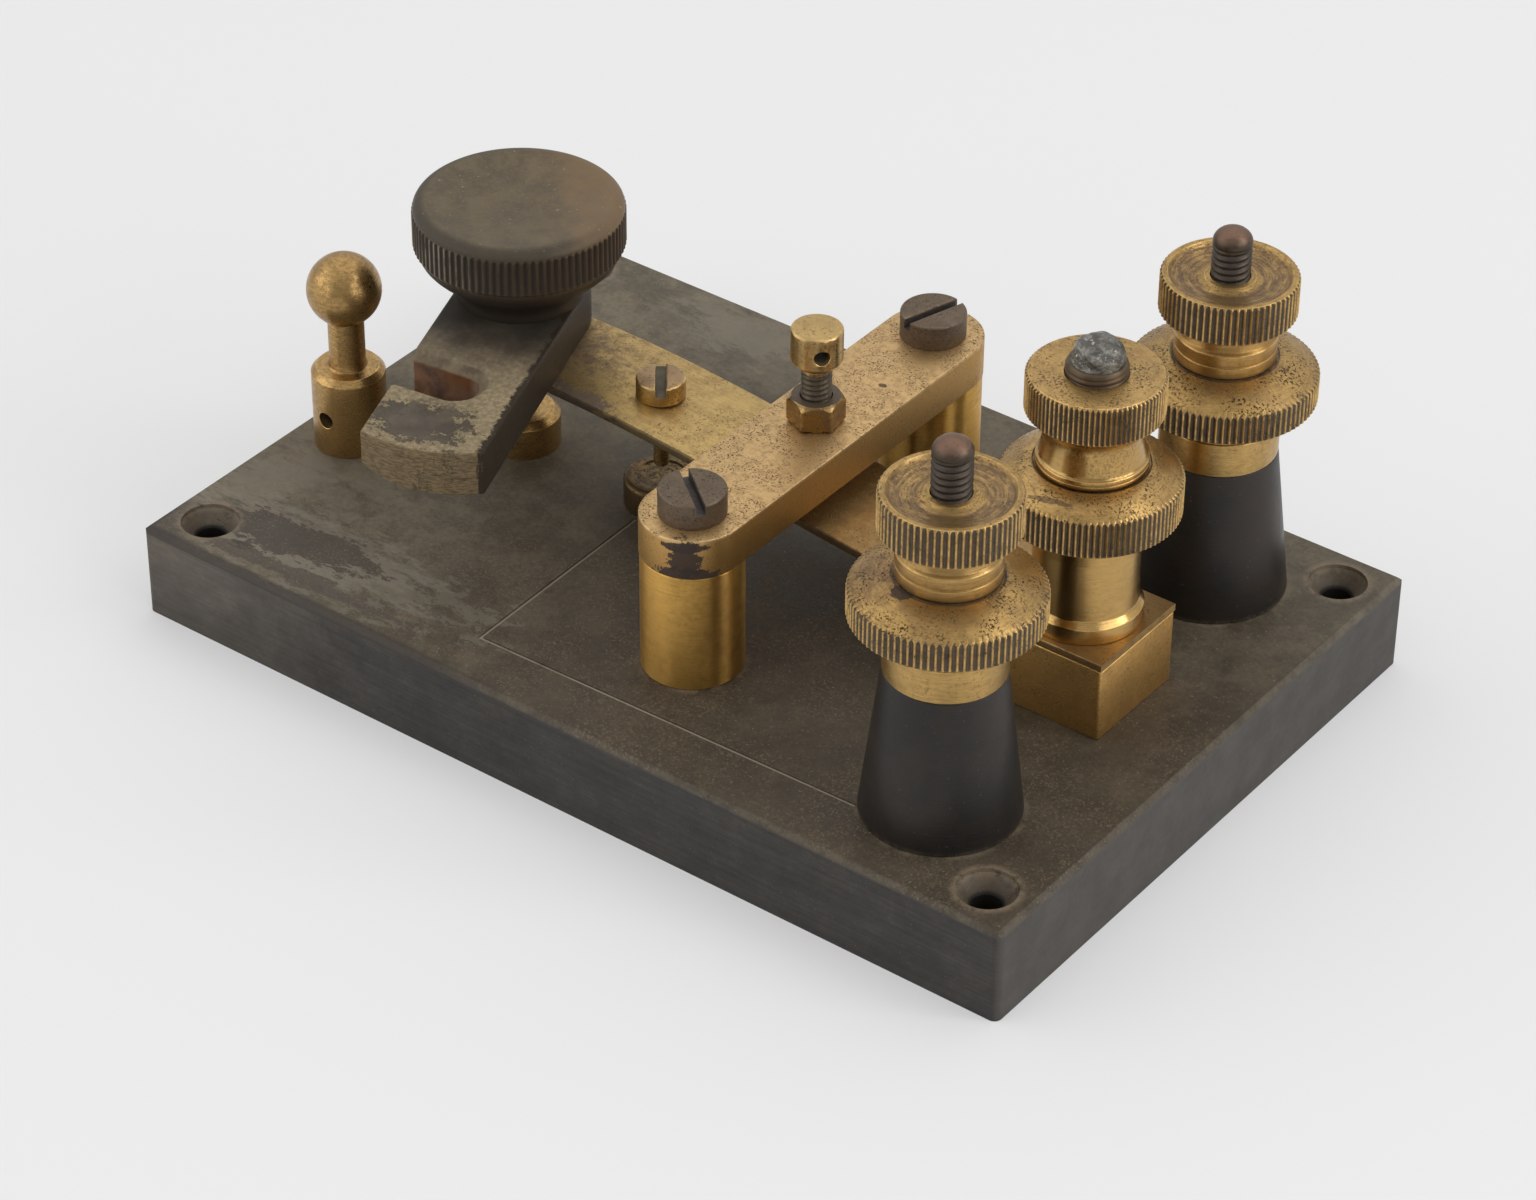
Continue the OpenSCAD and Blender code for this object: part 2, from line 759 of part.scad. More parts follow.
// Knob: a flaring underside, a ribbed rim with a rounded lip and a hollow top.
module finger_knob() {
    rim_r = knob_r - knurl_depth - 0.1;
    k1 = knob_h - lip_h;
    k0 = k1 - knob_knurl_h;
    lip_round = 0.5;
    lip_r = knob_r - 0.25;
    dish_rim = lip_r - lip_round - 0.1;
    dish_r = (dish_rim * dish_rim + knob_dish * knob_dish) / (2 * knob_dish);
    bore_top = 9;
    color(ebonite)
    at([knob_x, key_y], arm_top)
        difference() {
            union() {
                translate([0, 0, k0])
                    knurl(knob_r, knob_knurl_h, knob_teeth);
                rotate_extrude()
                    polygon(concat([[0, 0], [knob_neck_r, 0]],
                        [for (i = [0 : 6]) let (t = i / 6)
                            [knob_neck_r + (rim_r - 0.4 - knob_neck_r) * smooth_step(t), 1 + (k0 - 1.6) * t]],
                        [[rim_r, k0], [rim_r, k1 + 0.1], [lip_r, k1 + 0.4]],
                        [for (i = [0 : 4]) let (a = 90 * i / 4)
                            [lip_r - lip_round + lip_round * cos(a), knob_h - lip_round + lip_round * sin(a)]],
                        [[0, knob_h]]));
            }
            translate([0, 0, knob_h - knob_dish + dish_r])
                sphere(r = dish_r, $fn = 200);
            rod(pivot_r + run_fit, -1, bore_top);
        }
}

// Bolt from below the strip into the knob; its blunt lower end meets the stop stud.
module pivot_bolt() {
    head_h = 3;
    color(dark_brass)
    at([knob_x, key_y]) {
        rod(pivot_r, pivot_head_top - head_h, arm_top + 8.6);
        rod(2 * pivot_r, pivot_head_top - head_h, pivot_head_top);
        rod(pivot_r, pivot_tip, pivot_head_top - head_h + 1);
    }
}

// One turned piece: foot, stem and ball.
module latch_post() {
    edge = 0.8;
    color(brass)
    at([post_x, post_y], base_t)
        difference() {
            union() {
                cylinder(r = post_r, h = post_foot_h - edge);
                translate([0, 0, post_foot_h - edge])
                    cylinder(r1 = post_r, r2 = post_r - edge, h = edge);
                rod(post_stem_r, post_foot_h - 1, ball_z);
                translate([0, 0, ball_z])
                    sphere(r = ball_r);
            }
            rod(low_shank_r + run_fit, -1, 5);
            translate([0, 0, 0.455 * post_foot_h])
                rotate([90, 0, 0])
                    cylinder(r = 1, h = 3 * post_r, center = true);
        }
}

module bridge_pillar(y) {
    color(brass)
    at([bridge_x, y], base_t)
        difference() {
            cylinder(r = pillar_r, h = pillar_h);
            rod(low_shank_r + run_fit, -1, 7);
            rod(bridge_shank_r + run_fit, pillar_h - 8, pillar_h + 1);
        }
}

module near_bridge_pillar() { bridge_pillar(bridge_y0); }
module far_bridge_pillar() { bridge_pillar(bridge_y1); }

module bridge_bar() {
    color(brass)
    difference() {
        translate([0, 0, bar_z])
            linear_extrude(height = bar_t) {
                for (y = [bridge_y0, bridge_y1])
                    translate([bridge_x, y])
                        circle(r = bar_r);
                translate([bridge_x - bar_r, bridge_y0])
                    square([2 * bar_r, bridge_y1 - bridge_y0]);
            }
        for (y = [bridge_y0, bridge_y1])
            at([bridge_x, y])
                rod(bridge_shank_r + hole_fit, bar_z - 1, bar_top + 1);
        at(adjust_pt)
            rod(adjust_r + run_fit, bar_z - 1, bar_top + 1);
    }
}

module bridge_screw(y, turn) {
    color(dark_brass)
    at([bridge_x, y], bar_top)
        difference() {
            union() {
                cylinder(r = cheese_r, h = cheese_h - 0.5);
                translate([0, 0, cheese_h - 0.5])
                    cylinder(r1 = cheese_r, r2 = cheese_r - 0.5, h = 0.5);
                rod(bridge_shank_r, -bar_t - 7, 1);
            }
            driver_slot(cheese_h, 1.3, 1.6, 2 * cheese_r + 2, turn);
        }
}

module near_bridge_screw() { bridge_screw(bridge_y0, near_turn); }
module far_bridge_screw() { bridge_screw(bridge_y1, far_turn); }

// Screw with a drilled head; its rounded point bears on the strip.
module adjusting_screw() {
    hz = adjust_head_z;
    point = 1.2;
    color(dark_brass)
    at(adjust_pt)
        difference() {
            union() {
                translate([0, 0, adjust_tip])
                    cylinder(r1 = 1, r2 = adjust_r, h = point);
                rod(adjust_r, adjust_tip + point, hz + 1);
                translate([0, 0, hz])
                    cylinder(r1 = adjust_head_r - 1.1, r2 = adjust_head_r, h = 1);
                rod(adjust_head_r, hz + 1, hz + adjust_head_h - 0.4);
                translate([0, 0, hz + adjust_head_h - 0.4])
                    cylinder(r1 = adjust_head_r, r2 = adjust_head_r - 0.4, h = 0.4);
            }
            translate([0, 0, hz + 0.52 * adjust_head_h])
                rotate([0, 90, tommy_turn])
                    cylinder(r = tommy_r, h = 3 * adjust_head_r, center = true);
        }
}

module locknut() {
    corner_r = locknut_af / 2 / cos(30);
    color(dark_brass)
    at(adjust_pt, bar_top + face_fit)
        difference() {
            intersection() {
                rotate([0, 0, 37.7])
                    hexagon(locknut_af, locknut_h);
                union() {
                    cylinder(r = corner_r + 1, h = locknut_h - 0.6);
                    translate([0, 0, locknut_h - 0.6])
                        cylinder(r1 = corner_r + 0.15, r2 = locknut_af / 2 - 0.1, h = 0.6);
                }
            }
            rod(adjust_r + run_fit, -1, locknut_h + 1);
        }
}

module low_nut(p, top) {
    at(p, top - low_h)
        difference() {
            hexagon(low_nut_af, low_h);
            rod(stud_r + run_fit, -1, low_h + 1);
        }
}

module underside_nuts() {
    color(brass) {
        for (p = [near_pt, far_pt, anvil_pt])
            low_nut(p, strap_z);
        low_nut(mid_pt, pocket_z);
    }
}

module low_screw(p, top, length) {
    at(p)
        difference() {
            union() {
                rod(low_head_r, top - low_h, top);
                rod(low_shank_r, top - 1, top + length);
            }
            at([0, 0], top - low_h)
                rotate([180, 0, 0])
                    driver_slot(0, 1.2, 1.1, 3 * low_head_r, 30);
        }
}

module underside_screws() {
    reach = base_t - pocket_z + 4.5;
    color(brass) {
        for (p = [[bridge_x, bridge_y0], [knob_x, key_y], [post_x, post_y]])
            low_screw(p, pocket_z, reach);
        low_screw(far_leg_pt, strap_z, reach + strap_t);
    }
}

module near_strap() {
    color(brass)
    translate([0, 0, strap_z])
        linear_extrude(height = strap_t)
            difference() {
                near_strap_outline(0);
                translate(near_pt)
                    circle(r = stud_r + hole_fit);
                translate(anvil_pt)
                    circle(r = stud_r + hole_fit);
            }
}

module far_strap() {
    color(brass)
    translate([0, 0, strap_z])
        linear_extrude(height = strap_t)
            difference() {
                far_strap_outline(0);
                translate(far_pt)
                    circle(r = stud_r + hole_fit);
                translate(far_leg_pt)
                    circle(r = low_shank_r + hole_fit);
            }
}

base_plate();
near_pillar();
far_pillar();
near_hub();
far_hub();
near_stud();
far_stud();
near_large_nut();
far_large_nut();
near_clamp_nut();
far_clamp_nut();
terminal_block();
middle_column();
solder_cap();
middle_large_nut();
middle_clamp_nut();
contact_strip();
contact_screw();
lower_contact();
stop_stud();
latch_arm();
finger_knob();
pivot_bolt();
latch_post();
near_bridge_pillar();
far_bridge_pillar();
bridge_bar();
near_bridge_screw();
far_bridge_screw();
adjusting_screw();
locknut();
underside_nuts();
underside_screws();
near_strap();
far_strap();
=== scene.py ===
import bpy
import bmesh
import math
import numpy as np
from mathutils import Matrix, Vector


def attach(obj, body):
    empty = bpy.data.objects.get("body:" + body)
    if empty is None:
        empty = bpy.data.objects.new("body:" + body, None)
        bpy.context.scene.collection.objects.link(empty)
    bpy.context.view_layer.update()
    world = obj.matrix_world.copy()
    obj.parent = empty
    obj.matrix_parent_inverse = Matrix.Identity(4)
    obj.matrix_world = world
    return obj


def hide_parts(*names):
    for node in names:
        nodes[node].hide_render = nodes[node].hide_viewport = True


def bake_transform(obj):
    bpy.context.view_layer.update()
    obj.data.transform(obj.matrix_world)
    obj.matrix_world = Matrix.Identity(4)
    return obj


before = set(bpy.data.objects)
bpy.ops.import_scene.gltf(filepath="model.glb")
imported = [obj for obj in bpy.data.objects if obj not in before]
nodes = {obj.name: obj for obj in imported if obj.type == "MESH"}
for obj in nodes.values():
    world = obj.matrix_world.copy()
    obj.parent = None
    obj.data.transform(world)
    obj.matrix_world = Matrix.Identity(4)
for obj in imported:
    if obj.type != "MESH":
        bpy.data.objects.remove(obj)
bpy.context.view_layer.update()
mm = 0.001
print("frame loaded:", len(nodes), "nodes")

camera = {
    "eye": (343.39, -459.01, 421.86),  # mm
    "back": (0.49474, -0.64081, 0.58703),
    "right": (0.79154, 0.61111, 0.0),
    "lens": 113.795,
    "shift": 0.03844,
}


# axes right, up = back x right, and back make the turn; the eye is the place
def addCamera(look):
    data = bpy.data.cameras.new("camera")
    data.sensor_fit = "HORIZONTAL"
    data.sensor_width = 36
    data.lens = look["lens"]
    data.shift_x = look["shift"]
    data.clip_start = 0.05
    data.clip_end = 20
    rig = bpy.data.objects.new("camera", data)
    bpy.context.scene.collection.objects.link(rig)
    back, right = Vector(look["back"]).normalized(), Vector(look["right"]).normalized()
    up = back.cross(right)
    turn = Matrix((right, up, back)).transposed().to_4x4()
    rig.matrix_world = Matrix.Translation(Vector(look["eye"]) * mm) @ turn
    bpy.context.scene.camera = rig


addCamera(camera)
bpy.context.scene.view_settings.view_transform = "Standard"
print("camera placed")


# 3 t^2 - 2 t^3
def smoothStep(t):
    return t * t * (3 - 2 * t)


# corner points (x, y, radius) become a polyline whose corners are arcs;
# bend is +1 on a left turn and -1 on a right turn
def roundedPath(corners, closed=False, steps=4):
    points = np.array([c[:2] for c in corners], float)
    n = len(points)
    path, bend = [], []
    for i, (p, corner) in enumerate(zip(points, corners)):
        radius = corner[2] if len(corner) > 2 else 0
        if radius == 0 or (not closed and i in (0, n - 1)):
            path.append(p[None])
            bend.append(np.zeros(1))
            continue
        a, b = points[i - 1] - p, points[(i + 1) % n] - p
        la, lb = np.linalg.norm(a), np.linalg.norm(b)
        a, b = a / la, b / lb
        half = 0.5 * math.acos(np.clip(a @ b, -1, 1))
        cut = min(radius / math.tan(half), 0.48 * la, 0.48 * lb)
        middle = p + (a + b) / np.linalg.norm(a + b) * cut / math.cos(half)
        s, e = p + a * cut - middle, p + b * cut - middle
        turn = math.atan2(s[0] * e[1] - s[1] * e[0], s @ e)
        w = turn * np.linspace(0, 1, steps + 1)
        across, up = s[0] * np.cos(w) - s[1] * np.sin(w), s[0] * np.sin(w) + s[1] * np.cos(w)
        path.append(middle + np.stack([across, up], 1))
        bend.append(np.sign(turn) * np.sin(np.pi * np.linspace(0.12, 0.88, steps + 1)))
    return np.vstack(path), np.concatenate(bend)


# running sum of the steps between points
def lengthAlong(path):
    return np.concatenate([[0], np.cumsum(np.linalg.norm(np.diff(path, axis=0), axis=1))])


# faces of a rows x columns grid, closed round the columns, and round the rows for a ring
def gridFaces(rows, columns, ring=False, wrap=True):
    i = np.arange(rows if ring else rows - 1)[:, None]
    j = np.arange(columns if wrap else columns - 1)[None]
    up, on = (i + 1) % rows, (j + 1) % columns
    corners = [i * columns + j, i * columns + on, up * columns + on, up * columns + j]
    return np.stack(corners, -1).reshape(-1, 4)


# more rows on long straight stretches of a profile, so that threads and noise have points to move
def denser(path, bend, step):
    out, outBend = [], []
    for p, q, b, c in zip(path[:-1], path[1:], bend[:-1], bend[1:]):
        k = max(1, int(np.linalg.norm(q - p) / step))
        t = np.arange(k)[:, None] / k
        out.append(p + (q - p) * t)
        outBend.append(b + (c - b) * t[:, 0])
    return np.vstack(out + [path[-1:]]), np.concatenate(outBend + [bend[-1:]])


# surface of revolution: (r cos a, r sin a, z) over a profile of (r, z) and the angle a;
# cut(r, z, a) lowers r, and rubbed marks the widest points as worn, which on knurl ribs also paints a
# highlight on their tips
def turned(corners, centre, columns=96, ring=False, cut=None, step=None, start=0.0, rubbed=0.0):
    path, bend = roundedPath(corners, closed=ring)
    if step:
        path, bend = denser(path, bend, step)
    a = start + np.arange(columns) * 2 * np.pi / columns
    r = np.repeat(path[:, :1], columns, 1)
    z = np.repeat(path[:, 1:], columns, 1)
    full = r
    if cut:
        r = np.maximum(cut(r, z, a[None]), 0)
    co = np.stack([centre[0] + r * np.cos(a), centre[1] + r * np.sin(a), z], -1)
    widest = np.isclose(full, full.max()).reshape(-1)
    return {
        "co": co.reshape(-1, 3),
        "quads": gridFaces(len(path), columns, ring),
        "along": np.repeat(lengthAlong(path), columns),
        "bend": np.maximum(np.repeat(bend, columns), rubbed * widest),
        "groove": (full - r).reshape(-1),
        "out": np.repeat(path[:, 0], columns),
    }


# stack of closed outlines, each (points, z), with flat caps
def lofted(outlines, heights, edge=None):
    k = len(outlines[0])
    co = np.vstack([np.column_stack([o, np.full(k, z)]) for o, z in zip(outlines, heights)])
    rows = len(outlines)
    caps = [np.arange((rows - 1) * k, rows * k), np.arange(k - 1, -1, -1)]
    bend = np.zeros(rows) if edge is None else np.asarray(edge, float)
    along = np.repeat(np.asarray(heights, float), k)
    return {"co": co, "quads": gridFaces(rows, k), "caps": caps, "bend": np.repeat(bend, k), "along": along}


# a closed outline(inset) carried up through levels of (inset, z, edge)
def slab(outline, levels):
    insets, heights, edges = zip(*levels)
    return lofted([outline(inset) for inset in insets], heights, edges)


# profile rows (radius, height, round) raised by z
def lifted(rows, z):
    return [(r, z + h, *more) for r, h, *more in rows]


carried = ("along", "bend", "groove", "out")  # numbers at each point that the finishes read


# several shapes in one, each face counting on from the points before it
def joined(*parts):
    start = np.cumsum([0] + [len(p["co"]) for p in parts])
    out = {
        "co": np.vstack([p["co"] for p in parts]),
        "quads": np.vstack([p["quads"] + at for p, at in zip(parts, start)]),
        "caps": [cap + at for p, at in zip(parts, start) for cap in p.get("caps", [])],
    }
    for name in carried:
        out[name] = np.concatenate([p.get(name, np.zeros(len(p["co"]))) for p in parts])
    return out


# (x cos w - y sin w, x sin w + y cos w, z) by some degrees w, then moved
def placed(shape, at, turn):
    w = math.radians(turn)
    x, y, z = shape["co"].T
    across, up = x * math.cos(w) - y * math.sin(w), x * math.sin(w) + y * math.cos(w)
    co = np.stack([at[0] + across, at[1] + up, z], 1)
    return dict(shape, co=co)


# tooth valleys round a rim: 0 on a rib, 1 in a groove; p under 1 widens the groove
def knurlCut(outer, depth, teeth, low, high, p=0.72):
    def cut(r, z, a):
        valley = (0.5 - 0.5 * np.cos(teeth * a)) ** p
        fade = np.clip((z - low) / 0.3, 0, 1) * np.clip((high - z) / 0.3, 0, 1)
        return np.minimum(r, outer - depth * valley * np.sqrt(fade))
    return cut


# screw thread: a rounded ridge that climbs one pitch a turn between low and high
def threadCut(depth, pitch, low, high, inner=0.0):
    def cut(r, z, a):
        turn = z / pitch - a / (2 * np.pi)
        ridge = (0.5 + 0.5 * np.cos(2 * np.pi * turn)) ** 0.7
        fade = np.clip((z - low) / 0.4, 0, 1) * np.clip((high - z) / 0.4, 0, 1)
        return np.where(r > inner, r - depth * (1 - ridge) * fade, r)
    return cut


pieces = []


# puts a shape into a mesh object, rides it on its body, and hides the solid that it stands for
def makePiece(name, shape, body, stands, finish, sharp=38):
    mesh = bpy.data.meshes.new(name)
    faces = shape["quads"].tolist() + [cap.tolist() for cap in shape.get("caps", [])]
    mesh.from_pydata((shape["co"] * mm).tolist(), [], faces)
    for key in carried:
        if key in shape:
            values = mesh.attributes.new(key, "FLOAT", "POINT").data
            values.foreach_set("value", shape[key].astype(np.float32))
    work = bmesh.new()
    work.from_mesh(mesh)
    bmesh.ops.remove_doubles(work, verts=work.verts, dist=2e-7)  # closes the poles
    bmesh.ops.dissolve_degenerate(work, edges=work.edges, dist=1e-8)
    work.to_mesh(mesh)
    work.free()
    mesh.polygons.foreach_set("use_smooth", np.ones(len(mesh.polygons), bool))
    mesh.set_sharp_from_angle(angle=math.radians(sharp))
    mesh.materials.append(finish)
    piece = bpy.data.objects.new(name, mesh)
    bpy.context.scene.collection.objects.link(piece)
    if body:
        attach(piece, body)
    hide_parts(stands)
    pieces.append(piece)
    return piece


wiring = {"tree": None}  # the node tree that is being wired


# one output of a node; + - and * between wires and numbers add Math nodes
class Wire:
    def __init__(self, socket):
        self.socket = socket

    def __add__(self, other):
        return calc("ADD", self, other)

    def __sub__(self, other):
        return calc("SUBTRACT", self, other)

    def __rsub__(self, other):
        return calc("SUBTRACT", other, self)

    def __mul__(self, other):
        return calc("MULTIPLY", self, other)

    __radd__ = __add__
    __rmul__ = __mul__


# links an output to a socket, or sets a plain number or colour on it
def feed(socket, value):
    source = value.socket if isinstance(value, Wire) else value
    if isinstance(source, bpy.types.NodeSocket):
        wiring["tree"].links.new(source, socket)
    else:
        socket.default_value = source


# sets several sockets of a shader by name
def dress(shader, sockets):
    for name, value in sockets.items():
        feed(shader.inputs[name], value)


# adds a node with its settings, and feeds its inputs by name or number
def node(kind, inputs=None, **settings):
    made = wiring["tree"].nodes.new("ShaderNode" + kind)
    for key, value in settings.items():
        setattr(made, key, value)
    for key, value in (inputs or {}).items():
        feed(made.inputs[key], value)
    return made


# the same, and picks one of its outputs
def wire(kind, inputs=None, pick=0, **settings):
    return Wire(node(kind, inputs, **settings).outputs[pick])


# where a point lies on the part, in metres
def objectPlace():
    return wire("TexCoord", pick="Object")


# a sum of finer and finer noises, each rough times as strong as the one before
def noise(where, scale, detail, rough, warp=0.0):
    grain = {"Scale": scale, "Detail": detail, "Roughness": rough, "Distortion": warp}
    return wire("TexNoise", {"Vector": where, **grain})


# soft noise whose blobs are about size millimetres across
def cloud(where, size, detail=4.0, rough=0.6, warp=0.0):
    return noise(where, 1000 / size, detail, rough, warp)


# coordinates times a scale for each axis; a share under 1 draws a pattern out along that axis
def stretched(where, scale):
    return wire("Mapping", {"Vector": where, "Scale": scale})


# a number that the mesh carries at each point
def attribute(name):
    return wire("Attribute", pick="Fac", attribute_name=name, attribute_type="GEOMETRY")


# 0 at low and 1 at high, smooth between them; low may be the larger
def window(value, low, high):
    return wire("MapRange", {0: value, 1: low, 2: high}, interpolation_type="SMOOTHSTEP")


# one Math node: what(a, b)
def calc(what, a, b=0.0, clamp=False):
    return wire("Math", {0: a, 1: b}, operation=what, use_clamp=clamp)


# sqrt(u^2 + v^2)
def distance(u, v):
    return calc("SQRT", u * u + v * v)


# first colour where amount is 0, second where it is 1
def tint(amount, first, second, kind="MIX"):
    first, second = ((*c, 1) if isinstance(c, tuple) else c for c in (first, second))
    return wire("Mix", {0: amount, 6: first, 7: second}, 2, data_type="RGBA", blend_type=kind,
                clamp_factor=True)


# first + (second - first) * amount
def between(amount, first, second):
    return wire("Mix", {0: amount, 2: first, 3: second}, data_type="FLOAT", clamp_factor=True)


# height drawn as relief, depth in millimetres
def bumped(height, depth):
    return wire("Bump", {"Height": height, "Distance": depth * mm, "Strength": 1.0})


# a colour made lighter or darker
def toned(colour, share):
    return tuple(min(1, c * share) for c in colour)


# a material with one shader, whose tree is the one wired from here on
def newFinish(name):
    material = bpy.data.materials.new(name)
    material.use_nodes = True
    wiring["tree"] = material.node_tree
    material.node_tree.nodes.clear()
    shader = node("BsdfPrincipled")
    feed(node("OutputMaterial").inputs[0], shader.outputs[0])
    return material, shader


# millimetres along a piece's own axes: x, y, z after moving to a centre and turning by some degrees
def ownPlace(where, at=(0, 0, 0), turn=0.0, unit=mm):
    frameOf = {"Location": tuple(c * unit for c in at), "Rotation": (0, 0, math.radians(turn)),
               "Scale": (unit,) * 3}
    moved = wire("Mapping", {"Vector": where, **frameOf}, vector_type="TEXTURE")
    return moved, [Wire(socket) for socket in node("SeparateXYZ", {0: moved}).outputs]


# place on a turned piece that changes fast along its profile and slowly round it,
# so that a noise there breaks into arcs
def turnedPlace(x, y, spread, grain):
    return wire("CombineXYZ", {0: x * spread, 1: y * spread, 2: attribute("along") * grain})


# stain, worn place or patch of painted shade: centre and half sizes in mm, how ragged and how soft its rim
# is, strength, colour, share of the polish that it takes away, and its turn in degrees
def stainAndShadePatch(at, reach, ragged, soft, strength, colour=None, dull=1.0, turn=0):
    return {"at": at, "reach": reach, "ragged": ragged, "soft": soft, "strength": strength,
            "colour": colour, "dull": dull, "turn": turn}


# its mask: 1 inside an ellipsoid whose rim a noise moves in and out
def patchMask(where, patch, ragged):
    moved, _ = ownPlace(where, patch["at"], patch["turn"])
    inReach = wire("VectorMath", {0: moved, 1: patch["reach"]}, operation="DIVIDE")
    away = wire("VectorMath", {0: inReach}, "Value", operation="LENGTH")
    inside = 1.0 - away + (ragged - 0.5) * patch["ragged"]
    return window(inside, 0.0, patch["soft"]) * patch["strength"]


# aged brass: gold with cloudy brown tarnish, purple film, pits, turning or brush marks,
# dirt in grooves, bright worn edges that are also painted highlights on knurl ribs and nut corners, and
# patches and rings of stain, some of them painted shade
def brassFinish(name, gold=(0.55, 0.35, 0.125), brown=(0.17, 0.095, 0.036), film=(0.14, 0.092, 0.07),
                haze=0.5, hazeSize=1.8, filmed=0.3, pits=0.3, pitSize=0.5, pitCut=(0.55, 0.64),
                polish=0.3, lines=0.5, brush=None, grain=7.0, wear=0.7, spun=0.0,
                patches=(), rings=(), clean=None, gloss=0.5,
                deep=(0.1, 0.25), soil=((0.026, 0.021, 0.02), (0.08, 0.066, 0.062))):
    material, shader = newFinish(name)
    where = objectPlace()
    _, (x, y, z) = ownPlace(where)
    colour = tint(cloud(where, 7, 3), gold, toned(gold, 0.75))
    if brush:  # straight fine lines along one direction
        fine = cloud(stretched(where, brush), 0.35, 3, 0.6)
    else:  # turning marks
        fine = noise(turnedPlace(x, y, 0.3, grain), 1.0, 3, 0.65)
    fine = window(fine, 0.3, 0.7)
    colour = tint(fine * (0.3 * lines), colour, toned(gold, 0.42))
    ragged = cloud(where, hazeSize, 8, 0.72)
    kept = 1.0
    if clean:  # a stretch of height that has kept its polish
        kept = 1.0 - window(z, clean[0] - 0.1, clean[0]) * window(z, clean[1] + 0.1, clean[1]) * 0.6
        fine = fine * kept
    if not brush:  # tarnish on a turned face drifts round it too
        ragged = between(0.45, ragged, noise(turnedPlace(x, y, 0.45, 2.2), 1.0, 6, 0.7))
    hazeMask = window(ragged, 0.42, 0.62) * haze * kept
    colour = tint(hazeMask, colour, brown)
    filmMask = window(cloud(where, 9, 9, 0.7, 0.6), 0.5, 0.58) * filmed * kept
    colour = tint(filmMask, colour, film)
    dull = calc("MAXIMUM", hazeMask, filmMask)
    for patch in patches:
        mask = patchMask(where, patch, ragged)
        colour = tint(mask, colour, patch["colour"])
        dull = calc("MAXIMUM", dull, mask * patch["dull"])
    for ring in rings:  # tarnish and dirt between two radii of a turned face, between two heights, with painted shade on the clamp nuts' necks and where they sit
        out, soft, (inside, outside) = attribute("out"), ring["soft"], ring["r"]
        mask = window(out, inside - soft, inside + soft) * window(out, outside + soft, outside - soft)
        mask = mask * window(z, ring["above"], ring["above"] + 0.1)
        mask = mask * window(z, ring["below"], ring["below"] - 0.02)
        mask = mask * window(ragged, ring["from"], ring["from"] + 0.25) * ring["strength"]
        mask = calc("MULTIPLY", mask, between(fine, 0.45, 1.3), True)
        colour = tint(mask, colour, ring["colour"])
        dull = calc("MAXIMUM", dull, mask)
    speck = window(cloud(where, pitSize, 3, 0.6), *pitCut)
    patchy = window(cloud(where, 4, 5, 0.65), 0.36, 0.58)
    pitMask = speck * patchy * pits * kept
    colour = tint(pitMask, colour, toned(brown, 0.3))
    # worn edges painted brighter; on knurl rib tips and the locknut's corners this is also a painted
    # highlight
    edge = window(attribute("bend"), 0.15, 0.8) * window(cloud(where, 1.6, 5), 0.32, 0.6) * wear
    colour = tint(edge * (1.0 - dull), colour, toned(gold, 1.3))
    inner = window(0.0 - attribute("bend"), 0.2, 0.9)
    dirt = calc("MAXIMUM", window(attribute("groove"), *deep) * 0.93, inner * 0.3)
    colour = tint(dirt, colour, tint(window(ragged, 0.35, 0.65), *soil))
    dull = calc("MAXIMUM", dull, pitMask)
    rough = between(dull, polish + fine * (0.08 * lines), min(1, polish + 0.22))
    if clean:
        rough = rough * between(kept, gloss, 1.0)
    dress(shader, {
        "Base Color": colour,
        "Metallic": calc("SUBTRACT", 1.0, calc("MAXIMUM", dull * 0.4, dirt * 0.85), True),
        "Roughness": between(dirt, rough, 0.55),
        "Normal": bumped(fine * (0.2 * lines) - pitMask, 0.03),
    })
    if spun:  # light streaks across the turning marks
        tangent = wire("Tangent", direction_type="RADIAL", axis="Z")
        dress(shader, {"Anisotropic": spun, "Anisotropic Rotation": 0.25, "Tangent": tangent})
    return material


# black turned hard rubber: satin, a brown cast, faint turning lines, dust near the foot
def pillarFinish(name, foot=15.0):
    material, shader = newFinish(name)
    where = objectPlace()
    _, (_, _, z) = ownPlace(where)
    fine = wire("TexNoise", {"W": attribute("along") * 5.0, "Scale": 1.0, "Detail": 4.0, "Roughness": 0.7},
                noise_dimensions="1D")
    colour = tint(window(cloud(where, 12, 4), 0.35, 0.7), (0.0125, 0.0115, 0.0105), (0.026, 0.0175, 0.0125))
    colour = tint(window(fine, 0.45, 0.7) * 0.3, colour, (0.034, 0.029, 0.024))
    dust = window(foot + 0.9 - z, 0.0, 0.8) * window(cloud(where, 1.2, 4), 0.35, 0.6)
    colour = tint(dust * 0.5, colour, (0.1, 0.08, 0.055))
    speck = window(cloud(where, 0.6, 1), 0.72, 0.76)
    colour = tint(speck * 0.15, colour, (0.2, 0.17, 0.13))
    dress(shader, {
        "Base Color": colour,
        "Roughness": between(cloud(where, 2.5, 5), 0.3, 0.5),
        "Specular IOR Level": 0.34,
        "Normal": bumped(fine, 0.012),
    })
    return material


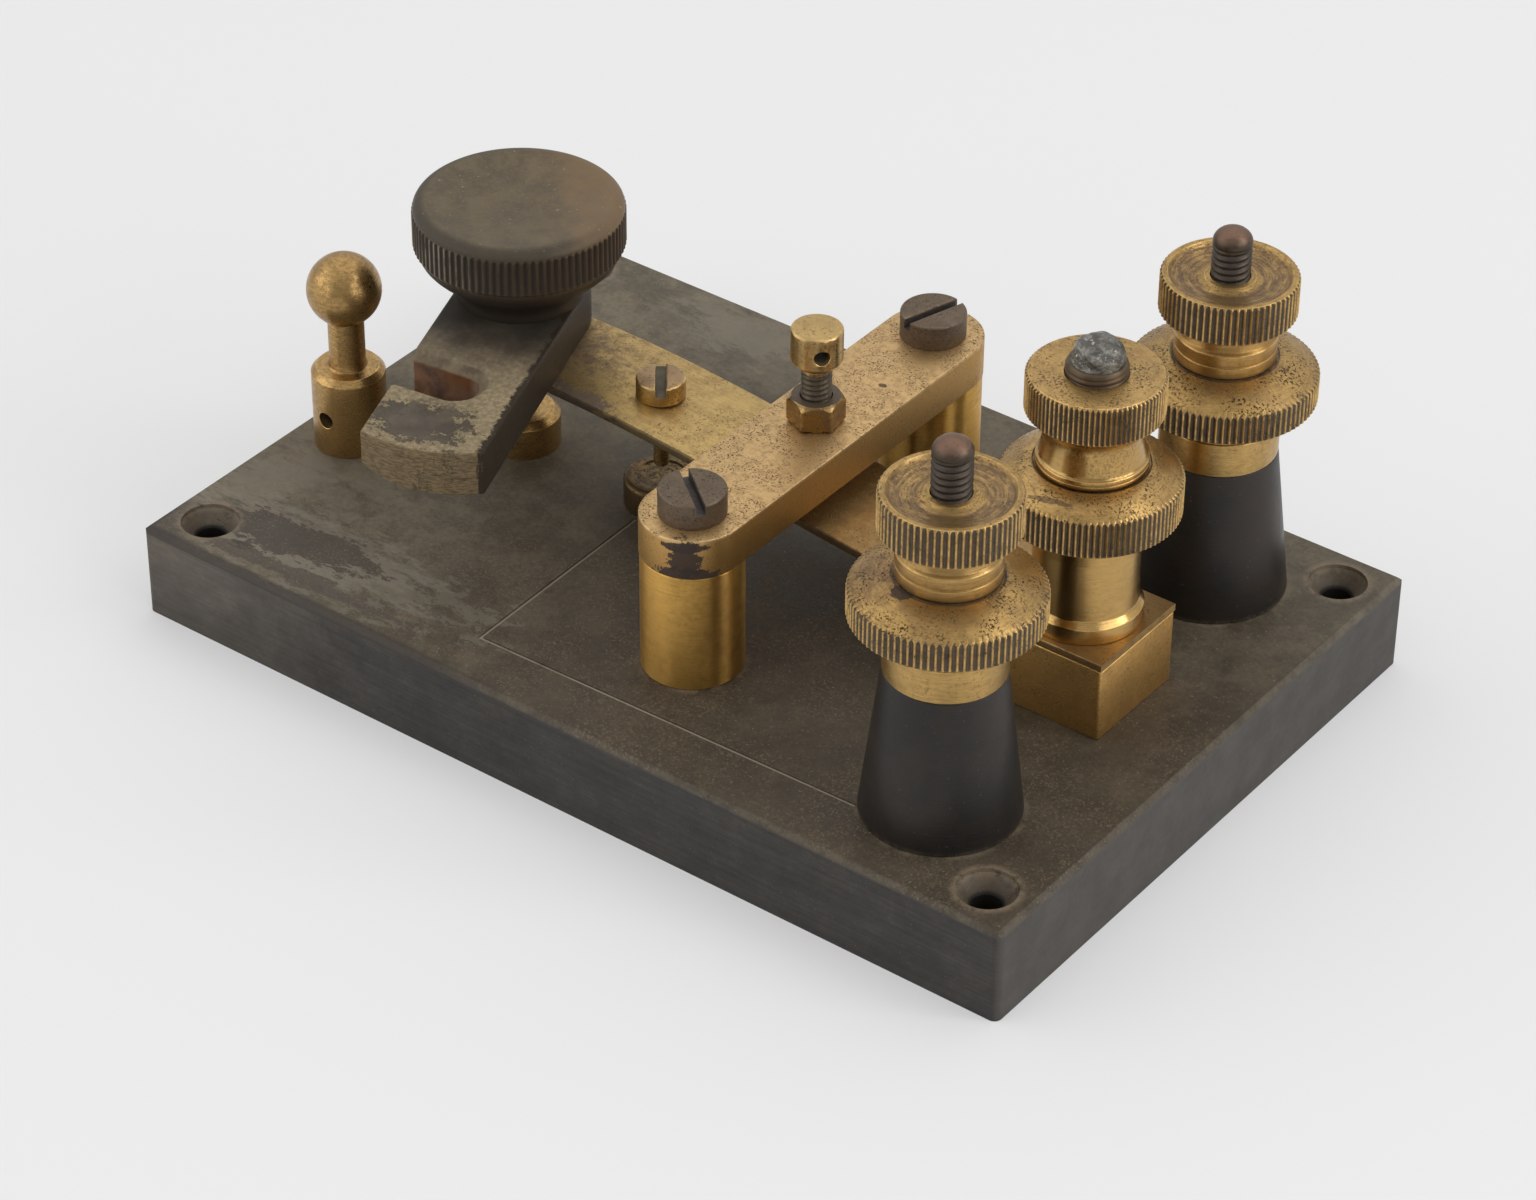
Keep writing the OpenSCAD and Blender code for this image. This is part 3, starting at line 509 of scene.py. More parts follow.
base = {
    "half": (76.2, 50.8), "top": 15.0,
    "holes": (69.2, 43.8), "sinkR": 4.3, "holeR": 2.2,
    "line": ((-20.3, -5.5), (-19.6, -41.7), (44.7, -40.2)), "lineHalf": 0.27,
    "feet": ((54, -33.1, 11.3), (54, 33.1, 11.3), (7.3, -27.4, 7.4), (7.3, 29.4, 7.4),
             (-20.3, 0.7, 5.6), (-46.3, 0.7, 5.5), (-67, -14.9, 5.55)),
    "kept": (stainAndShadePatch((-57.5, -40.0, 15), (15, 4.4, 9), 5.0, 0.06, 0.9, turn=8),
             stainAndShadePatch((-54, -46.6, 15), (18, 1.7, 9), 7.0, 0.1, 0.75, turn=2),
             stainAndShadePatch((-73.5, -46.5, 15), (6, 6, 9), 3.5, 0.3, 0.6)),
    "faded": (stainAndShadePatch((-37, 45, 15), (15, 7.5, 9), 4.5, 0.5, 0.48),
              stainAndShadePatch((-69, -30, 15), (6, 14, 9), 4.0, 0.5, 0.5, turn=-20),
              stainAndShadePatch((-55, -41, 15), (26, 9, 9), 3.5, 0.4, 0.65, turn=5)),
    "flaked": (stainAndShadePatch((-50, -42, 15), (26, 6, 9), 7.0, 0.12, 0.4, (0.21, 0.19, 0.145), turn=4),
               stainAndShadePatch((-62, -22, 15), (10, 9, 9), 7.0, 0.3, 0.3, (0.2, 0.178, 0.135)),
               stainAndShadePatch((-15, 40, 15), (45, 10, 9), 7.0, 0.3, 0.15, (0.2, 0.178, 0.135))),
}


# hard rubber of the base: near black, faded olive grey at its left and back, brown dust at its front,
# streaks along its sides
def baseFinish(name, b):
    material, shader = newFinish(name)
    where = objectPlace()
    _, (x, y, z) = ownPlace(where)
    sinkR, holeR, top = b["sinkR"], b["holeR"], b["top"]
    broad = cloud(where, 34, 5, 0.6)
    mottle = cloud(where, 6, 7, 0.68)
    fine = cloud(where, 0.8, 5, 0.7)
    streak = cloud(stretched(where, (0.3, 1.0, 1.0)), 2.6, 9, 0.76)
    left = window(x + broad * 50.0, 30.0, -34.0)
    rear = window(y + broad * 30.0, 18.0, 56.0)
    fade = calc("MAXIMUM", left, rear * 0.64)
    colour = tint(window(mottle, 0.35, 0.7), (0.056, 0.044, 0.029), (0.092, 0.07, 0.045))
    faded = tint(window(mottle, 0.4, 0.62), (0.102, 0.084, 0.056), (0.172, 0.144, 0.098))
    colour = tint(fade * 0.88, colour, faded)
    colour = tint(window(fine, 0.42, 0.6) * 0.45, colour, (0.62, 0.62, 0.62), "MULTIPLY")
    for patch in b["faded"]:
        colour = tint(patchMask(where, patch, streak), colour, (0.212, 0.187, 0.141))
    flake = cloud(stretched(where, (0.55, 1.0, 1.0)), 3.4, 10, 0.78, 0.3)
    for patch in b["flaked"]:
        colour = tint(patchMask(where, patch, flake), colour, patch["colour"])
    for patch in b["kept"]:
        colour = tint(patchMask(where, patch, between(0.5, streak, flake)), colour, (0.06, 0.048, 0.038))
    front = window(broad * 40.0 - y, -2.0, 46.0)
    grit = cloud(where, 0.42, 3, 0.62)
    dust = window(grit, 0.5, 0.68) * window(cloud(where, 9, 5, 0.65), 0.3, 0.65) * (front * 0.5 + 0.18)
    colour = tint(dust, colour, (0.18, 0.125, 0.075))
    speck = window(cloud(where, 0.36, 1, 0.4), 0.7, 0.76)
    colour = tint(speck * 0.5, colour, (0.27, 0.21, 0.14))
    for fx, fy, r in b["feet"]:  # dust that has settled round each foot
        _, (u, v, _) = ownPlace(where, (fx, fy, 0))
        ring = window(distance(u, v), r + 1.1, r + 0.1) * window(mottle, 0.4, 0.62)
        colour = tint(ring * 0.6, colour, (0.19, 0.15, 0.1))
    # from the middle, so four holes and edges are one
    fromX, fromY = calc("ABSOLUTE", x), calc("ABSOLUTE", y)
    away = distance(fromX - b["holes"][0], fromY - b["holes"][1])
    rim = window(away, sinkR + 1.3, sinkR + 0.1) * window(away, sinkR - 2.0, sinkR - 0.2)
    rim = rim * window(cloud(where, 2.0, 6, 0.7), 0.36, 0.56)
    colour = tint(rim * 0.75, colour, (0.2, 0.152, 0.1))
    sunk = window(away, sinkR, sinkR - 0.8) * (fine * 0.6 + 0.4)
    soil = tint(window(z, top - 1.4, top - 0.5), (0.072, 0.053, 0.037), (0.034, 0.027, 0.021))
    colour = tint(sunk * 0.8, colour, soil)
    # the cone's lowest half millimetre round the hole painted near black: painted shade that widens the hole
    colour = tint(window(away, holeR + 0.5, holeR + 0.05), colour, (0.012, 0.01, 0.007))
    half = b["lineHalf"]
    for (x0, y0), (x1, y1) in zip(b["line"][:-1], b["line"][1:]):  # scribed line: along it and across it
        long = math.hypot(x1 - x0, y1 - y0)
        _, (u, v, _) = ownPlace(where, (x0, y0, 0), math.degrees(math.atan2(y1 - y0, x1 - x0)))
        on = window(u, -half, 0.0) * window(u, long + half, long)
        on = on * window(calc("ABSOLUTE", v), half + 0.06, half - 0.08)
        on = on * window(cloud(where, 3.5, 6, 0.7), 0.22, 0.5)
        colour = tint(on * 0.85, colour, (0.33, 0.285, 0.21))
    side = window(z, top - 0.5, top - 0.9) * window(away, sinkR + 0.2, sinkR + 0.6)  # walls, not the sinks
    ruled = cloud(stretched(where, (0.02, 0.02, 1.0)), 0.45, 4, 0.6)
    wall = tint(window(ruled, 0.3, 0.72) * 0.45 + mottle * 0.3, (0.031, 0.028, 0.025), (0.058, 0.052, 0.0465))
    pale = window(x + mottle * 40.0, -8.0, -52.0) * (ruled * 0.3 + mottle * 0.7)
    pale = pale * between(window(z + flake * 8.0, 6.0, 15.0), 0.65, 1.2)
    wall = tint(calc("MULTIPLY", pale, 0.85, True), wall, (0.172, 0.145, 0.114))
    blot = cloud(stretched(where, (0.6, 0.6, 1.0)), 4.2, 8, 0.74, 0.2)
    wall = tint(window(blot, 0.5, 0.62) * 0.45, wall, (0.72, 0.71, 0.7), "MULTIPLY")
    wall = tint(window(blot, 0.5, 0.38) * 0.5, wall, (1.42, 1.39, 1.35), "MULTIPLY")
    wall = tint(speck * 0.3, wall, (0.2, 0.175, 0.14))
    # the +X end wall painted lighter: painted light from the lamps on the right
    wall = tint(window(x, b["half"][0] - 1.0, b["half"][0] - 0.2) * 0.6, wall, (0.083, 0.075, 0.068))
    colour = tint(side, colour, wall)
    edge = calc("MINIMUM", b["half"][0] - fromX, b["half"][1] - fromY)
    worn = window(edge, 1.0, 0.5) * window(z, top - 1.2, top - 0.5)
    worn = worn * window(cloud(where, 3.0, 6, 0.7), 0.34, 0.6)
    colour = tint(worn * 0.3, colour, (0.15, 0.13, 0.1))
    band = window(edge + flake * 1.6, 2.5, 1.6) * window(z, top - 1.3, top - 0.8)
    band = band * window(x + streak * 40.0, 20.0, -5.0) * window(y, -40.0, -47.0)
    colour = tint(band * 0.75, colour, (0.036, 0.029, 0.024))  # unfaded along the front edge
    dress(shader, {
        "Base Color": colour,
        "Roughness": between(window(mottle, 0.3, 0.7), 0.5, 0.72),
        "Specular IOR Level": 0.3,
        "Normal": bumped(fine + ruled * side, 0.03),
    })
    return material


# hard rubber of the knob: olive brown, browner at its right rear, rib tips paler with a painted highlight
# towards the left, painted shade on the lip's front, dirt between the ribs
def knobFinish(name, l):
    material, shader = newFinish(name)
    where = objectPlace()
    _, (u, _, z) = ownPlace(where, (*l["at"], 0), 50)
    k1 = l["z1"] + l["knobH"] - l["lip"]  # the ribs' upper and lower ends
    k0 = k1 - l["knurlH"]
    mottle = cloud(where, 4, 7, 0.66)
    fine = cloud(where, 0.55, 5, 0.7)
    colour = tint(window(mottle, 0.34, 0.68), (0.074, 0.055, 0.03), (0.125, 0.094, 0.052))
    rear = window(u + mottle * 12.0, 6.0, 20.0)
    colour = tint(rear * 0.75, colour, (0.185, 0.112, 0.05))
    colour = tint(window(fine, 0.48, 0.68) * 0.4, colour, (0.15, 0.118, 0.073))
    low = window(z, k0 + 0.55, k0 - 1.25)
    colour = tint(low, colour, (0.032, 0.024, 0.016))
    dirt = window(attribute("groove"), 0.06, 0.24)
    band = window(z, k0 - 0.45, k0 - 0.05) * window(z, k1 + 0.35, k1 - 0.15)
    colour = tint(band * 0.8, colour, (0.026, 0.016, 0.0095))
    # rib tips a little paler, and pale towards the left as a painted highlight
    rib = band * window(attribute("groove"), 0.1, 0.02) * window(cloud(where, 5, 5), 0.32, 0.62)
    rubbed = tint(window(u, -7.0, -14.5), (0.064, 0.041, 0.025), (0.36, 0.29, 0.21))
    colour = tint(rib * 0.65, colour, rubbed)
    colour = tint(dirt * 0.7, colour, (0.013, 0.0085, 0.0055))
    # the lip painted dark except at its rear: painted shade on its front
    lip = window(attribute("out"), 13.3, 14.6) * window(z, k1 - 0.35, k1 + 0.25)
    colour = tint(lip * 0.75, colour, tint(rear, (0.04, 0.031, 0.0205), (0.15, 0.096, 0.048)))
    speck = window(cloud(where, 0.45, 1, 0.4), 0.75, 0.78) * window(z, k1 - 0.55, k1 + 0.45)
    colour = tint(speck * 0.6, colour, (0.4, 0.36, 0.28))
    dress(shader, {
        "Base Color": colour,
        "Roughness": between(window(mottle, 0.3, 0.7), 0.4, 0.56),
        "Specular IOR Level": 0.3,
        "Normal": bumped(fine, 0.03),
    })
    return material


# worn hard rubber of the arm: a dark skin flaked off to khaki round the slot and on the front lobe,
# fibrous front end, dark sides
def armFinish(name, l):
    material, shader = newFinish(name)
    where = objectPlace()
    moved, (u, v, z) = ownPlace(where, (*l["at"], 0), l["turn"])
    fine = cloud(where, 0.8, 6, 0.7)
    mottle = cloud(where, 4.5, 6, 0.65)
    grain = noise(stretched(moved, (0.12, 1.0, 0.3)), 1.6, 6, 0.65)
    skin = tint(window(mottle, 0.35, 0.7), (0.066, 0.051, 0.036), (0.108, 0.086, 0.06))
    shaded = window(u + mottle * 7.0, 22.0, 12.0)
    skin = tint(shaded * 0.75, skin, (0.03, 0.0265, 0.021))
    bare = tint(window(fine, 0.35, 0.7), (0.19, 0.146, 0.083), (0.33, 0.262, 0.158))
    rubbed = window(u + (grain * 0.6 + mottle) * 9.0, 20.5, 33.0) * window(u, 33.5, 31.0)
    colour = tint(rubbed * 0.85, skin, bare)
    flakes = noise(stretched(moved, (1.0, 0.75, 0.25)), 0.42, 10, 0.8, 0.3)
    (du, dv), (reachU, reachV) = l["skinAt"], l["skinReach"]  # where the skin has stayed on the lobe
    du, dv = calc("DIVIDE", u - du, reachU), calc("DIVIDE", v - dv, reachV)
    core = calc("SUBTRACT", 1.0, du * du + dv * dv, True)
    mask = window(flakes + (0.1 - core * 0.215), 0.5, 0.525) * window(u + flakes * 6.0, 27.0, 31.0)
    colour = tint(mask * 0.92, colour, bare)
    mask = calc("MAXIMUM", mask, rubbed * 0.6)
    tip = window(distance(u - l["bowAt"], v), l["bowR"] - 0.35, l["bowR"] - 0.12) * window(u, 30.0, 31.0)
    fibre = cloud(stretched(where, (0.22, 0.22, 1.0)), 0.22, 4, 0.6)
    wood = tint(window(fibre, 0.4, 0.6), (0.12, 0.083, 0.043), (0.2, 0.145, 0.077))
    split = cloud(stretched(where, (0.1, 0.1, 1.0)), 0.5, 6, 0.7)
    wood = tint(window(split, 0.57, 0.64) * 0.7, wood, (0.045, 0.031, 0.018))
    colour = tint(tip, colour, wood)
    right = window(v + (flakes - 0.5) * 5.0, l["halfW"] - 0.9, l["halfW"] - 0.6)
    right = calc("MAXIMUM", right, window(v, l["halfW"] - 0.12, l["halfW"] - 0.04))
    colour = tint(right, colour, tint(fine, (0.02, 0.0135, 0.008), (0.046, 0.032, 0.019)))
    _, (s, t, _) = ownPlace(moved, (*l["slotAt"], 0), l["slotTurn"], 1.0)
    half, lobe, tone = l["slotHalf"], window(u, 36.0, 34.0), window(mottle, 0.35, 0.65)
    inSlot = window(calc("ABSOLUTE", t), half + 2.2, half + 1.2) * window(s, -half - 2.0, -half) * lobe
    seat = inSlot * window(z, l["z1"] - 0.15, l["z1"] - 0.4)
    colour = tint(seat * 0.75, colour, tint(tone, (0.065, 0.043, 0.024), (0.17, 0.13, 0.08)))
    seatZ = l["z1"] - l["seatD"]
    inSlot = inSlot * window(z, seatZ + 0.25, seatZ - 0.1)
    colour = tint(inSlot, colour, tint(tone, (0.05, 0.02, 0.008), (0.15, 0.066, 0.026)))
    dress(shader, {
        "Base Color": colour,
        "Roughness": between(inSlot, between(mask, 0.5, 0.8), 0.3),
        "Specular IOR Level": 0.25,
        "Normal": bumped(fine * 0.6 - mask * (1.0 - right) + fibre * tip * 1.5, 0.07),
    })
    return material


# solder: dull grey lumps with small shinier spots painted lighter as glints
def solderFinish(name):
    material, shader = newFinish(name)
    where = objectPlace()
    lump = cloud(stretched(where, (0.6, 0.6, 1.0)), 0.9, 7, 0.68, 0.4)
    colour = tint(window(lump, 0.4, 0.7), (0.1, 0.095, 0.082), (0.27, 0.26, 0.225))
    # painted glints: lighter grey spots that are also less rough
    glint = window(cloud(where, 0.7, 4, 0.65), 0.57, 0.67)
    colour = tint(glint * 0.8, colour, (0.5, 0.49, 0.44))
    dress(shader, {
        "Base Color": colour,
        "Metallic": 0.85,
        "Roughness": between(glint, 0.36, 0.2),
        "Normal": bumped(lump, 0.22),
    })
    return material


stripStainsAndShade = (
    stainAndShadePatch((-40, 0.7, 34), (17, 13, 9), 2.2, 0.9, 0.8, (0.15, 0.105, 0.07)),
    stainAndShadePatch((-29, -7.9, 33), (9, 2.6, 9), 3.0, 0.4, 0.85, (0.12, 0.09, 0.075)),
    # painted shade over the strip from the bar to its clamped end on the block
    stainAndShadePatch((50, 0.7, 28), (43, 40, 12), 0.8, 0.3, 0.8, (0.3, 0.178, 0.073), 0.35),
    stainAndShadePatch((-12, -8.6, 31), (54, 0.5, 9), 0.3, 0.2, 0.75, (0.045, 0.03, 0.02)),  # dark near edge
)
purple = (0.062, 0.044, 0.037)
barStains = (
    stainAndShadePatch((0, 0, 36.6), (200, 200, 3.45), 0.1, 0.05, 0.9, (0.5, 0.295, 0.095), 0.0),  # cleaner sides
    stainAndShadePatch((10.6, -33.7, 39.2), (3.2, 5.0, 0.95), 1.6, 0.05, 0.95, purple, turn=37.7),
    stainAndShadePatch((10.9, -33.7, 37.2), (2.3, 5.0, 3.0), 2.4, 0.05, 0.95, purple, turn=37.7),
    stainAndShadePatch((11.1, -33.7, 34.2), (4.6, 5.0, 1.7), 1.8, 0.05, 0.95, purple, turn=37.7),
    stainAndShadePatch((9.6, 13.8, 40.35), (0.75, 0.6, 0.6), 1.0, 0.3, 0.8, (0.06, 0.036, 0.026)),
)
# painted shade, tinted brown, on the right side of the near bridge pillar
nearPillarShade = (stainAndShadePatch((14.4, -28.2, 24), (8, 8, 30), 0.6, 0.8, 0.9, (0.3, 0.165, 0.043), 0.2),)
# the column's threaded end darkened where it meets the solder
columnEndDark = (stainAndShadePatch((53.7, 0.7, 69.0), (8, 8, 3.0), 0.8, 0.2, 0.92, (0.062, 0.046, 0.036)),)
shankStain = (
    stainAndShadePatch((7.3, 1.0, 44.0), (8, 8, 5.7), 0.5, 0.1, 0.9, (0.07, 0.058, 0.048)),
    stainAndShadePatch((-20.3, 0.7, 36.9), (5, 5, 0.7), 0.9, 0.4, 0.7, (0.3, 0.19, 0.115), 0.5),
)
crownStains = (
    stainAndShadePatch((54, -33.1, 74.65), (5, 5, 2.0), 1.0, 0.7, 0.85, (0.22, 0.13, 0.09), 0.0),
    stainAndShadePatch((54, 33.1, 73.75), (5, 5, 2.0), 1.0, 0.7, 0.85, (0.22, 0.13, 0.09), 0.0),
)
farNeck = (stainAndShadePatch((54, 33.1, 57), (12, 12, 4.2), 0.4, 0.5, 0.6, (0.4, 0.215, 0.06), 0.1),)
clampTarnishAndShade = (
    # brown over the clamp nuts' necks below their ribs: tarnish and painted shade
    {"r": (6.2, 7.4), "soft": 0.1, "from": -0.3, "above": 53.74, "below": 60.3, "strength": 0.45,
     "colour": (0.33, 0.19, 0.06)},
    {"r": (4.5, 8.3), "soft": 0.4, "from": 0.32, "above": 65.0, "below": 70.0, "strength": 0.75,
     "colour": (0.14, 0.085, 0.053)},
)
# dark rings where the clamp nuts sit on the large nuts: dirt and painted shade of the gap
neckGapDirtAndShade = ({"r": (6.9, 7.7), "soft": 0.15, "from": 0.2, "above": 52.9, "below": 53.74, "strength": 0.85,
             "colour": (0.05, 0.04, 0.036)},)
footGapDirtAndShade = ({"r": (7.8, 8.2), "soft": 0.08, "from": 0.1, "above": 52.4, "below": 53.04, "strength": 0.75,
             "colour": (0.05, 0.04, 0.034)},)
nutStains = (
    stainAndShadePatch((46.9, -38.6, 52.3), (6.5, 8, 4), 2.5, 0.9, 0.65, (0.2, 0.115, 0.065), 0.6, 38),
    stainAndShadePatch((51.9, -40.4, 53.6), (1.7, 1.5, 0.9), 1.6, 0.1, 0.9, (0.06, 0.042, 0.037)),
    stainAndShadePatch((53.6, -9.9, 52.4), (4.5, 0.5, 1.5), 3.4, 0.3, 0.65, (0.11, 0.07, 0.045), turn=8),
    stainAndShadePatch((62.8, 35.3, 52.3), (3.0, 0.5, 1.5), 3.2, 0.3, 0.7, (0.13, 0.075, 0.045), turn=104),
)
knurled = {"deep": (0.06, 0.24), "soil": ((0.03, 0.023, 0.019), (0.1, 0.076, 0.056))}  # dirt between the ribs
finish = {
    "base": baseFinish("base ebonite", base),
    "cone": pillarFinish("pillar ebonite"),
    "nutBrass": brassFinish("nut brass", gold=(0.6, 0.385, 0.14), haze=0.4, filmed=0.2, pits=1.0,
            pitSize=0.36, pitCut=(0.535, 0.59), polish=0.3, lines=1.2, spun=0.5, rings=neckGapDirtAndShade,
            patches=nutStains, **knurled),
    "clampBrass": brassFinish("clamp nut brass", gold=(0.6, 0.385, 0.14), haze=0.5, filmed=0.1, pits=0.7,
            pitSize=0.36, polish=0.28, lines=2.0, grain=2.8, spun=0.5, rings=clampTarnishAndShade, clean=(53.0, 60.4),
            gloss=0.85, patches=farNeck, **knurled),
    "hubBrass": brassFinish("hub brass", gold=(0.62, 0.4, 0.145), haze=0.2, filmed=0.1, pits=0.4,
            polish=0.25, lines=1.4, spun=0.8),
    "pillarBrass": brassFinish("pillar brass", gold=(0.72, 0.42, 0.11), haze=0.15, filmed=0.0, pits=0.15,
            polish=0.33, lines=1.1, grain=4.0, spun=0.95, patches=nearPillarShade),
    "brightBrass": brassFinish("bright brass", gold=(0.62, 0.395, 0.145), haze=0.45, filmed=0.1, pits=0.9,
            pitSize=0.36, pitCut=(0.54, 0.6), polish=0.24, lines=1.0, spun=0.6, rings=footGapDirtAndShade,
            clean=(53.1, 61.1), gloss=0.7, patches=nutStains, **knurled),
    "columnBrass": brassFinish("column brass", gold=(0.66, 0.42, 0.15), haze=0.08, filmed=0.0, pits=0.1,
            polish=0.2, lines=0.7, spun=0.7, patches=columnEndDark),
    "barBrass": brassFinish("bar brass", gold=(0.74, 0.5, 0.235), brown=(0.21, 0.115, 0.052), haze=0.35,
            hazeSize=1.0, filmed=0.03, pits=1.0, pitSize=0.32, pitCut=(0.54, 0.63), polish=0.42,
            brush=(1.0, 0.05, 1.0), lines=0.4, wear=0.25, patches=barStains, clean=(33.9, 40.1), gloss=1.15),
    "blockBrass": brassFinish("block brass", gold=(0.77, 0.46, 0.15), haze=0.3, filmed=0.1, pits=0.7,
            pitSize=0.34, polish=0.42, brush=(0.06, 0.06, 1.0), lines=0.9),
    "stripBrass": brassFinish("strip brass", gold=(0.6, 0.415, 0.165), haze=0.3, filmed=0.1, pits=0.6,
            pitSize=0.36, polish=0.36, brush=(0.05, 1.0, 1.0), lines=0.8, wear=0.3, patches=stripStainsAndShade),
    "postBrass": brassFinish("post brass", gold=(0.58, 0.365, 0.138), haze=0.6, filmed=0.05, pits=0.35,
            pitSize=0.34, polish=0.23, lines=0.8, hazeSize=0.6, spun=0.6),
    "darkScrew": brassFinish("dark screw", gold=(0.21, 0.16, 0.115), brown=(0.14, 0.098, 0.064),
            film=(0.2, 0.152, 0.112), haze=0.7, hazeSize=0.9, filmed=0.5, pits=0.8, pitSize=0.32, polish=0.5,
            wear=0.5, lines=0.8, spun=0.3),
    "screwBrass": brassFinish("screw brass", gold=(0.62, 0.42, 0.17), haze=0.22, filmed=0.15, pits=0.5,
            polish=0.24, lines=0.8, spun=0.75, patches=shankStain,
            soil=((0.038, 0.033, 0.023), (0.105, 0.089, 0.06))),
    "studBrass": brassFinish("stud brass", gold=(0.094, 0.073, 0.053), brown=(0.055, 0.042, 0.031),
            film=(0.085, 0.068, 0.053), haze=0.6, filmed=0.4, pits=0.2, polish=0.36, wear=0.3,
            patches=crownStains),
    "nutDark": brassFinish("locknut brass", gold=(0.4, 0.26, 0.1), haze=0.9, hazeSize=1.2, filmed=0.5,
            pits=0.5, polish=0.22, wear=1.0),
    "contactDark": brassFinish("lower contact brass", gold=(0.22, 0.145, 0.062), brown=(0.07, 0.042, 0.024),
            haze=0.9, hazeSize=1.6, filmed=0.6, pits=0.8, polish=0.34, lines=0.2, wear=0.3),
    "solder": solderFinish("solder"),
    "lowBrass": brassFinish("underside brass", gold=(0.42, 0.27, 0.1), haze=0.7, filmed=0.3, pits=0.3,
            polish=0.4, brush=(1.0, 1.0, 0.2), lines=0.3),
}
print("finishes ready:", len(finish))


terminal = {
    "places": {"near": (54.0, -33.1), "far": (54.0, 33.1)},
    "studTop": {"near": 74.85, "far": 73.95},
    "foot": 15.0, "coneTop": 38.4, "footR": 11.3, "topR": 8.5,
    "hubTop": 46.85, "hubStep": 43.6,
    "studR": 2.8, "boreR": 2.86, "pitch": 1.05, "threadDepth": 0.34,
    "nutZ": 46.9, "nutR": 13.4, "knurlH": 4.5, "rise": 2.3, "neckR": 7.2, "teeth": 88,
    "crownH": 2.1, "threadFrom": 40.0, "nutDepth": 0.4, "clampDepth": 0.42,
    "clampZ": 53.75, "clampR": 9.7, "clampTeeth": 64, "k0": 6.95, "k1": 12.65, "gripR": 9.2, "innerH": 12.7,
    # clamp nut below and above its ribs: radius, height, round
    "neck": ((7.2, 0, 0.3), (7.2, 1.7, 0.05), (7.05, 1.8, 0.05), (7.05, 2.0, 0.05), (7.2, 2.1, 0.05),
             (7.2, 3.7, 0.3), (6.75, 4.1, 0.3), (6.45, 5.0, 0.6), (6.55, 6.2, 0.3)),
    "dish": ((9.35, 13.0, 0.15), (8.65, 13.0, 0.2), (8.1, 12.5, 0.4), (5.0, 12.1, 1.6), (3.6, 12.6, 0.5)),
}


# profiles of one outer terminal: straight cone, stepped hub, threaded stud with an elliptic crown,
# knurled nut whose top rises as 1 - (1 - u)^1.7, and clamp nut with a neck and a dished top
def terminalShapes(t, side):
    at, top = t["places"][side], t["studTop"][side]
    foot, coneTop, hubTop, step, r = t["foot"], t["coneTop"], t["hubTop"], t["hubStep"], t["topR"]
    cone = turned([(0, foot), (t["footR"], foot, 0.25), (r, coneTop, 0.2), (0, coneTop)], at, 128)
    hub = turned([(0, coneTop), (r, coneTop, 0.15), (r, step, 0.2), (r - 0.25, step + 0.15, 0.1),
                  (r - 0.25, hubTop, 0.2), (0, hubTop)], at, 128)
    studR, bore, crownH = t["studR"], t["boreR"], t["crownH"]
    arc = np.linspace(0, math.pi / 2, 9)[1:]
    crown = [(studR * math.cos(a), top - crownH + crownH * math.sin(a)) for a in arc]
    thread = threadCut(t["threadDepth"], t["pitch"], t["threadFrom"], top - crownH - 0.1, 2.0)
    shank = [(0, 1.0), (studR, 1.0, 0.3), (studR, top - crownH)]
    stud = turned(shank + crown, at, 72, step=0.12, cut=thread)
    z, h, nutR, rise = t["nutZ"], t["knurlH"], t["nutR"], t["rise"]
    rim = nutR - 0.2
    foot = [(bore, z), (nutR - 0.6, z, 0.2), (nutR, z + 0.45, 0.2), (nutR, z + h - 0.2, 0.2)]
    arc = np.linspace(0, 1, 12)
    dome = [(rim + (t["neckR"] - rim) * u, z + h + rise * (1 - (1 - u) ** 1.7)) for u in arc]
    ribs = knurlCut(nutR, t["nutDepth"], t["teeth"], z + 0.05, z + h + 0.35)
    profile = foot + dome + [(bore, z + h + rise)]
    nut = turned(profile, at, t["teeth"] * 10, ring=True, cut=ribs, rubbed=0.7)
    z, k0, k1, clampR = t["clampZ"], t["k0"], t["k1"], t["clampR"]
    grip = [(t["gripR"], k0, 0.2), (clampR, k0 + 0.35, 0.2), (clampR, k1, 0.15)]
    ribs = knurlCut(clampR, t["clampDepth"], t["clampTeeth"], z + k0 + 0.05, z + k1 + 0.35)
    profile = lifted([(bore, 0), *t["neck"], *grip, *t["dish"], (bore, t["innerH"])], z)
    clamp = turned(profile, at, t["clampTeeth"] * 12, ring=True, cut=ribs, rubbed=0.7)
    return cone, hub, stud, nut, clamp


for side in ("near", "far"):
    cone, hub, stud, nut, clamp = terminalShapes(terminal, side)
    makePiece(side + ".pillar", cone, "base", side + "_pillar", finish["cone"])
    makePiece(side + ".hub", hub, "base", side + "_hub", finish["hubBrass"])
    makePiece(side + ".stud", stud, "base", side + "_stud", finish["studBrass"], 60)
    makePiece(side + ".largeNut", nut, side + "_large", side + "_large_nut",
              finish["nutBrass"])
    makePiece(side + ".clampNut", clamp, side + "_clamp", side + "_clamp_nut",
              finish["clampBrass"])
print("outer terminals done:", len(pieces))


# rectangle with round corners, drawn in by an inset
def rectangle(x0, y0, x1, y1, radius, inset):
    x0, y0, x1, y1 = x0 + inset, y0 + inset, x1 - inset, y1 - inset
    return roundedPath([(x0, y0, radius), (x1, y0, radius), (x1, y1, radius), (x0, y1, radius)], True)[0]


